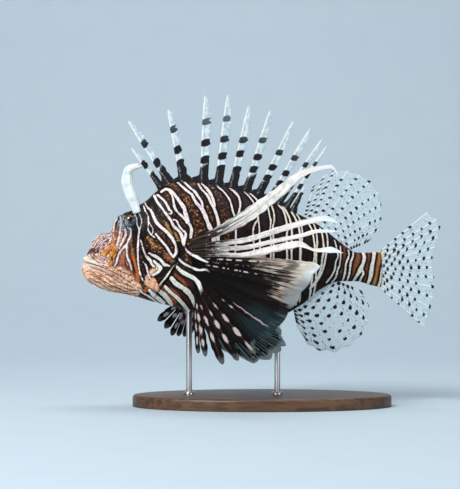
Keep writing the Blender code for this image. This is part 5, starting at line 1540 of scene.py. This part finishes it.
# The breast fins are huge fans of soft rays. The first few are free white ribbons, the middle ones carry a
# full dark web with a pale outer part, and the last ones end in free black fingers with white bars.
LEFT_BREAST_TIPS = [
    (60.4, 84.0, 191.6), (59.5, 85.0, 154.5), (60.5, 92.0, 148.0), (61.0, 96.0, 130.0),
    (45.0, 98.0, 119.5), (36.5, 97.0, 106.5), (27.0, 94.0, 91.5), (16.0, 90.0, 76.0),
    (5.0, 85.0, 61.5), (-6.5, 79.0, 49.0), (-20.5, 72.0, 43.0), (-33.0, 65.0, 39.5),
    (-47.5, 58.0, 45.5), (-53.5, 50.0, 47.5),
]
RIGHT_BREAST_TIPS = [
    (22.0, 118.0, 157.0), (27.0, 122.0, 148.0), (26.0, 125.0, 138.0), (23.0, 127.0, 127.0),
    (15.0, 127.0, 116.0), (8.0, 125.0, 106.0), (-2.0, 121.0, 96.0), (-14.0, 115.0, 87.0),
    (-28.0, 107.0, 78.0), (-42.0, 98.0, 69.0), (-56.0, 88.0, 60.0), (-68.0, 78.0, 55.0),
    (-79.0, 69.0, 56.5), (-91.0, 60.0, 70.0),
]
BREAST_ROOT = ((-63.5, 138.0), (-56.5, 98.0))
# The left fin's four free ribbons wave, so each follows its own points from the root
LEFT_RIBBONS = [
    [
        (-52.0, 31.0, 142.5), (-38.0, 42.0, 147.5), (-14.9, 55.0, 159.8), (11.5, 68.0, 178.8),
        (31.5, 76.0, 194.7), (45.5, 80.0, 199.0), (54.2, 83.0, 200.0), (60.4, 84.0, 191.6),
    ],
    [
        (-43.0, 38.0, 138.0), (-19.0, 53.5, 140.2), (17.4, 74.0, 150.7), (37.4, 80.5, 156.2),
        (49.3, 83.5, 158.2), (61.3, 85.0, 153.8),
    ],
    [
        (-43.0, 39.0, 133.5), (-19.0, 55.0, 134.4), (9.3, 73.0, 140.1), (29.3, 81.0, 144.1),
        (45.1, 87.0, 148.1), (60.9, 92.0, 147.7),
    ],
    [
        (-43.0, 40.0, 128.5), (-19.0, 57.0, 127.8), (5.2, 73.0, 133.2), (27.6, 84.0, 137.7),
        (42.6, 90.0, 132.5), (52.9, 93.0, 132.9), (63.1, 96.0, 130.5),
    ],
]
BREAST_WEB = [0.15, 0.3, 0.3, 0.58, 1.0, 1.0, 1.0, 1.0, 0.93, 0.82, 0.7, 0.58, 0.58]
BREAST_WIDTHS = np.array([4.6, 3.2, 2.4, 3.4, 3.8, 4.0, 4.0, 4.0, 3.8, 3.6, 3.8, 4.0, 3.8, 3.6])
# Half widths of the free ribbons at shares of their length
RIBBON_SHARES = (0.1, 0.4, 0.7, 0.84, 0.94)
RIBBON_HALVES = [
    (2.8, 5.6, 4.0, 2.2, 1.5), (1.6, 2.2, 2.5, 2.3, 2.4), (1.5, 1.9, 1.9, 1.7, 1.2),
    (1.6, 2.8, 4.3, 1.1, 2.8),
]
BREAST_LIFTS = [12.0, 9.0, 6.0, 3.0, 1.0] + [0.0] * 9
BREAST_BOW = 13.0
BREAST_RAY = 0.65
BREAST_SINK = 1.0
BREAST_DROOP = 1.2
# White ovals on the free fingers: ray number, share of its length, half length and half width
FINGER_OVALS = [
    (8, 0.42, 2.3, 0.7), (8, 0.52, 3.2, 0.7), (9, 0.38, 4.2, 1.1), (9, 0.54, 6.3, 1.9),
    (9, 0.72, 6.8, 2.1), (9, 0.90, 6.3, 1.5), (10, 0.41, 4.2, 1.2), (10, 0.55, 5.9, 1.9),
    (10, 0.73, 6.3, 1.8), (11, 0.30, 3.6, 1.1), (11, 0.46, 5.7, 1.8), (11, 0.66, 6.3, 1.8),
    (12, 0.27, 3.8, 1.1), (12, 0.43, 5.3, 1.8), (12, 0.61, 5.7, 1.8), (12, 0.80, 4.6, 1.9),
    (13, 0.38, 5.1, 1.8), (13, 0.57, 5.3, 1.8), (13, 0.79, 5.1, 2.0), (9.5, 0.52, 5.0, 1.6),
    (9.5, 0.70, 5.0, 1.6), (10.5, 0.45, 4.6, 1.7), (10.5, 0.64, 4.6, 1.8), (10.5, 0.82, 4.0, 1.8),
    (11.5, 0.52, 4.6, 1.7), (11.5, 0.73, 4.4, 2.0), (12.5, 0.46, 4.4, 1.7), (12.5, 0.68, 4.6, 2.0),
]
# The rays of each fin, on one scale. The right fin's last fingers stand twice as close as the left one's.
RAY_COUNT = 14
BREAST_RAYS = {
    "left": np.arange(0.0, RAY_COUNT),
    "right": np.append(np.arange(9.0), np.arange(9, 13.5, 0.5)),
}


def side_y(x, z):
    """Half width of the body at a height, without the small forms of its skin."""
    middle, half = (back(x) + belly(x)) / 2, (back(x) - belly(x)) / 2
    up = np.clip((z - middle) / half, -0.999, 0.999)
    return half_width(x) * np.sqrt(1 - up * up) * (1 - CROWN_TAPER * up)


banded_web = Finish("banded_web")
ray_place, v = banded_web.own_place(RAY_COUNT, -0.5)
grain = banded_web.noise(1.0, 2.0)
blot = banded_web.noise(5.0, 3.0)
streaks = banded_web.combed(ray_place * 2.4, v * 3.0, 3.0)
hairs = banded_web.combed(ray_place * 9.0, v * 4.0, 2.0)
clouds = banded_web.combed(ray_place * 1.1, v * 7.0, 2.0)
away = banded_web.attribute("away")
on_ray = abs(away).fall(0.3, 0.8)
night = banded_web.mix(grain.rise(0.4, 0.8), (0.0015, 0.0012, 0.0012), (0.007, 0.004, 0.0035))
low_ray = on_ray * ray_place.rise(7.6, 8.6) * v.rise(0.12, 0.3) * blot.rise(0.35, 0.5)
banded_web.colour = banded_web.mix(low_ray * 0.7, night, (0.075, 0.022, 0.013))
blue_grey = banded_web.mix(hairs.rise(0.4, 0.65), (0.012, 0.022, 0.028), (0.10, 0.14, 0.16))
lobe_tip = (v + (blot - 0.5) * 0.12).rise(0.88, 0.97) * ray_place.rise(6.4, 6.9)
banded_web.lay(lobe_tip * 0.75, blue_grey)
green_sheen = ray_place.between(6.6, 7.2, 8.2, 8.8) * (v + (streaks - 0.5) * 0.5).rise(0.6, 0.8)
green = banded_web.mix(hairs, (0.002, 0.005, 0.006), (0.018, 0.042, 0.046))
banded_web.lay(green_sheen * 0.7, green)
cream = banded_web.mix(streaks.rise(0.38, 0.62), (0.60, 0.53, 0.45), (0.24, 0.18, 0.13))
cream = banded_web.mix(blot.rise(0.42, 0.62) * 0.5, cream, (0.33, 0.32, 0.30))
# Painted shadow: dark clouds and shaded hairs darken the pale panel in soft patches
cream = banded_web.mix(clouds.rise(0.46, 0.62) * v.fall(0.80, 0.94) * 0.8, cream, (0.050, 0.040, 0.028))
shaded = hairs.fall(0.42, 0.56) * (v + ray_place.rise(4.0, 5.0) * -0.12).fall(0.72, 0.92)
cream = banded_web.mix(shaded * 0.85, cream, (0.055, 0.030, 0.026))
web_edge = (v + (streaks - 0.5) * 0.4 + (clouds - 0.5) * 0.3).rise(0.84, 1.0)
edge_colour = banded_web.mix(ray_place.rise(4.2, 5.2), (0.70, 0.80, 0.84), (0.20, 0.23, 0.25))
cream = banded_web.mix(web_edge * 0.85, cream, edge_colour)
inner_edge = v - (ray_place - 4) * 0.11 + (blot - 0.5) * 0.2 + (streaks - 0.5) * 0.6
panel = (inner_edge + (hairs - 0.5) * 0.4).rise(0.54, 0.68) * ray_place.fall(6.1, 6.5)
banded_web.lay(panel, cream)
dash = on_ray * (v * 12 + (blot - 0.5) * 2).part().rise(0.55, 0.66)
dash = dash * ray_place.fall(5.2, 5.6) * v.rise(0.12, 0.2)
banded_web.lay(dash * v.fall(0.5, 0.62) * 0.7, (0.66, 0.58, 0.55))
oval = (banded_web.attribute("oval") + (grain - 0.5) * 1.4 + (blot - 0.5) * 1.6).fall(-0.8, 0.1)
oval_colour = banded_web.mix(grain, (0.60, 0.52, 0.50), (0.34, 0.26, 0.24))
banded_web.lay(oval, oval_colour)
upper = ray_place.fall(3.3, 3.7)
ribbon = banded_web.mix(streaks.rise(0.3, 0.6), (0.86, 0.87, 0.86), (0.66, 0.62, 0.60))
ribbon = banded_web.mix(hairs.fall(0.36, 0.52) * v.fall(0.45, 0.75) * 0.6, ribbon, (0.24, 0.18, 0.14))
ribbon = banded_web.mix(blot.rise(0.46, 0.60) * v.fall(0.62, 0.85) * 0.55, ribbon, (0.36, 0.38, 0.33))
ribbon = banded_web.mix(v.rise(0.85, 0.96) * 0.7, ribbon, (0.66, 0.80, 0.86))
ribbon_root = (v + (blot - 0.5) * 0.15 + (streaks - 0.5) * 0.5 + (hairs - 0.5) * 0.3).fall(0.20, 0.40)
root_colour = banded_web.mix(hairs.rise(0.50, 0.66), (0.008, 0.006, 0.006), (0.12, 0.075, 0.055))
ribbon = banded_web.mix(ribbon_root, ribbon, root_colour)
banded_web.lay(upper, ribbon)
banded_web.lay(dash * upper * v.fall(0.3, 0.42) * 0.8, (0.72, 0.64, 0.62))
pale_ray = (ray_place + (blot - 0.5) * 0.2).near(7.62, 0.02, 0.06) * v.between(0.50, 0.58, 0.88, 0.95)
banded_web.lay(pale_ray * 0.7, (0.44, 0.35, 0.37))
finger_tip = (v + (blot - 0.5) * 0.16).rise(0.90, 0.99) * ray_place.rise(8.4, 8.8)
banded_web.lay(finger_tip * 0.5, (0.16, 0.15, 0.14))
root_stripe = (banded_web.attribute("stripe") + (grain - 0.5) * 0.8 + (blot - 0.5) * 0.8).fall(-0.2, 0.2)
root_stripe = root_stripe * v.fall(0.12, 0.20)
banded_web.lay(root_stripe, (0.78, 0.76, 0.76))
banded_web.feed(Base_Color=banded_web.colour, Roughness=0.55 + grain * 0.2, Specular_IOR_Level=0.08)
banded_web.bump((banded_web.attribute("height") * 3.0).wave() * on_ray * 0.4 + grain + hairs * 0.5, 0.16)

for side, sign, tips in (("left", -1, LEFT_BREAST_TIPS), ("right", 1, RIGHT_BREAST_TIPS)):
    rays = BREAST_RAYS[side]
    kind = rays.astype(int)
    tips = np.stack([np.interp(rays, np.arange(len(tips)), part) for part in zip(*tips)], axis=-1)
    share = rays / rays[-1]
    (x0, z0), (x1, z1) = BREAST_ROOT
    root_x, root_z = x0 + (x1 - x0) * share, z0 + (z1 - z0) * share
    roots = np.stack([root_x, sign * (side_y(root_x, root_z) - BREAST_SINK), root_z], axis=-1)
    bow = np.array([(0, sign * BREAST_BOW, BREAST_LIFTS[ray]) for ray in kind])
    lines = bowed(roots, tips * (1, sign, 1), bow)
    if side == "left":
        for number, ribbon_points in enumerate(LEFT_RIBBONS):
            path = np.vstack([roots[number], np.multiply(ribbon_points, (1, sign, 1))])
            lines[number] = along(path, fine_steps)
    droop = BREAST_DROOP * np.sin(fine_steps * 5 + 1) * fine_steps
    lines[..., 1] += droop * np.cos(np.arange(len(tips)) * 1.7)[:, None]

    def finger(ray, share, height):
        ragged = 1 + 0.07 * np.sin(height * 0.55 + ray * 1.9)
        width = BREAST_WIDTHS[kind[ray]] * np.sqrt(blunt(share, 0.80))
        for number, halves in enumerate(RIBBON_HALVES):
            ribbon_width = curve(RIBBON_SHARES, halves, share) * blunt(share, 0.9)
            width = np.where(ray == number, ribbon_width, width)
        return width * ragged

    web = [BREAST_WEB[ray] for ray in kind[:-1]]
    fan, half, facts, column = rayed_sheet(
        lines, web, finger, finger, 110, BREAST_RAY, billow=1.2 * sign, scallop=0.02
    )
    spread = np.gradient(rays)[facts["ray"]]
    ray = rays[facts["ray"]]
    own_map(fan, (ray + 0.5 + facts["f"] * spread) / RAY_COUNT, facts["share"])
    facts["oval"] = np.full(len(half), FAR)
    for number, place, half_length, half_wide in FINGER_OVALS:
        down = (facts["share"] - place) * facts["length"] / half_length
        ring = (np.hypot(down, facts["away"] / half_wide) - 1) * half_wide
        facts["oval"] = np.where(ray == number, np.minimum(facts["oval"], ring), facts["oval"])
    side_view = points_of(fan)[:, [0, 2]] / MM
    facts["stripe"] = marking_distance(side_view, MARKINGS["white_a"][-4:] + MARKINGS["white_b"][-4:])
    for fact in ("stripe", "oval", "away", "height"):
        store(fan, fact, facts[fact])
    close_sheet(fan, half, column)
    settle(fan, "banded_breast_fin_" + side, banded_web, "dark_fin", "breast_fin_" + side)

# The pelvic fins are smaller fans under the chest, dark green-black with fine grooves and small black spots
# near the edge. Each has one stout spine in front and five branched rays.
PELVIC_TIPS = [
    (-31.0, 30.0, 48.0), (-8.0, 38.0, 38.5), (6.0, 41.0, 42.0), (15.0, 38.0, 49.0),
    (19.5, 33.0, 53.5), (15.5, 26.0, 66.5),
]
PELVIC_ROOT = ((-51.0, 9.0, 5.0), (-36.0, 4.5, 8.0))
PELVIC_BOW = 4.0
PELVIC_RAY = 0.55
PELVIC_RAY_WIDTH = 3.0

dark_web = Finish("dark_web")
ray_place, v = dark_web.own_place(len(PELVIC_TIPS), -0.5)
grain = dark_web.noise(1.3, 2.0)
cloud = dark_web.noise(5.0, 2.0)
branch = (ray_place * 4 + cloud * 0.6).part().near(0.5, 0.06, 0.2)
on_ray = abs(dark_web.attribute("away")).fall(0.25, 0.6)
dark_web.colour = dark_web.mix(cloud.rise(0.3, 0.7), (0.003, 0.006, 0.007), (0.018, 0.034, 0.039))
dark_web.lay(branch * v.rise(0.25, 0.6) * 0.5, (0.24, 0.31, 0.32))
dark_web.lay(on_ray * v.rise(0.1, 0.3) * 0.5, (0.34, 0.36, 0.34))
dark_web.lay(v.fall(0.12, 0.3), (0.030, 0.012, 0.010))
torn_edge = (v + (cloud - 0.5) * 0.16 + (grain - 0.5) * 0.1).rise(0.90, 0.97)
dark_web.lay(torn_edge * 0.6, (0.40, 0.48, 0.50))
cells = {"Vector": dark_web.place(), "Scale": 0.13}
pelvic_spots = dark_web.node("TexVoronoi", {"feature": "F1"}, cells, "Distance")
spots_here = pelvic_spots.fall(0.22, 0.34) * v.between(0.5, 0.65, 0.86, 0.93)
dark_web.lay(spots_here * 0.95, (0.005, 0.006, 0.008))
dark_web.feed(Base_Color=dark_web.colour, Roughness=0.5 + grain * 0.2, Specular_IOR_Level=0.1)
dark_web.bump(branch * 0.8 + on_ray * 0.6 + grain * 0.5, 0.16)
for side, sign in SIDES.items():
    share = np.linspace(0, 1, len(PELVIC_TIPS))
    x, out, rise = (first + (last - first) * share for first, last in zip(*PELVIC_ROOT))
    roots = np.stack([x, sign * out, belly(x) + rise], axis=-1)
    lines = bowed(roots, np.multiply(PELVIC_TIPS, (1, sign, 1)), [0, sign * PELVIC_BOW, 0])

    def pelvic_edge(ray, share, height):
        return PELVIC_RAY_WIDTH * blunt(share, 0.75) * (1 + 0.15 * np.sin(height * 1.3 + ray))

    web = [FULL_WEB] * (len(lines) - 1)
    fan, half, facts, column = rayed_sheet(
        lines, web, pelvic_edge, pelvic_edge, 70, PELVIC_RAY, billow=0.5 * sign, scallop=0.045
    )
    store(fan, "away", facts["away"])
    close_sheet(fan, half, column)
    settle(fan, "dark_pelvic_fin_" + side, dark_web, "dark_fin", "pelvic_fin_" + side)

# A plain pale floor that sweeps up behind into the backdrop, in soft studio light.
SWEEP = [(-2.6, 0.0), (0.7, 0.0), (1.0, 0.04), (1.25, 0.15), (1.43, 0.35), (1.5, 0.65), (1.5, 3.2)]
sweep, column, row = grid_piece(2, 60)
path = along([(0, y, z) for y, z in SWEEP], row / 59)
move_points(sweep, np.stack([(column * 2 - 1) * 4.0, path[:, 1], path[:, 2]], axis=-1) / MM)
sweep.name = "pale_floor"
bpy.ops.object.shade_smooth()
pale_paper = Finish("pale_paper")
paper = pale_paper.noise(40.0, 2.0)
pale_paper.feed(Base_Color=pale_paper.mix(paper, (0.46, 0.56, 0.63), (0.49, 0.59, 0.66)), Roughness=0.85)
sweep.data.materials.clear()
sweep.data.materials.append(pale_paper.material)


def soft_light(name, place, aim, size, power, colour=(1, 1, 1)):
    lamp = bpy.data.lights.new(name, "AREA")
    lamp.shape = "DISK"
    lamp.size = size
    lamp.energy = power
    lamp.color = colour
    holder = bpy.data.objects.new(name, lamp)
    holder.location = place
    away = np.subtract(place, aim)
    flat = math.hypot(away[0], away[1])
    holder.rotation_euler = (math.atan2(flat, away[2]), 0, math.atan2(away[0], -away[1]))
    scene.collection.objects.link(holder)


soft_light("main light", (-0.9, -1.3, 1.5), (-0.03, 0, 0.13), 0.6, 40.0)
soft_light("fill light", (1.3, -1.3, 0.5), (0, 0, 0.13), 1.2, 6.0)
soft_light("low light", (-0.9, -1.2, 0.12), (-0.1, 0, 0.12), 0.8, 4.0, (1.0, 0.94, 0.88))
soft_light("top light", (0.1, 0.3, 1.7), (0, 0, 0.13), 1.0, 9.0)
soft_light("backdrop light", (0, 0.7, 1.9), (0, 1.5, 0.5), 1.6, 7.0)
scene.world = bpy.data.worlds.new("studio")
scene.world.use_nodes = True
surround = scene.world.node_tree.nodes["Background"]
surround.inputs["Color"].default_value = (0.85, 0.93, 1.0, 1)
surround.inputs["Strength"].default_value = 0.16
scene.view_settings.view_transform = "Standard"
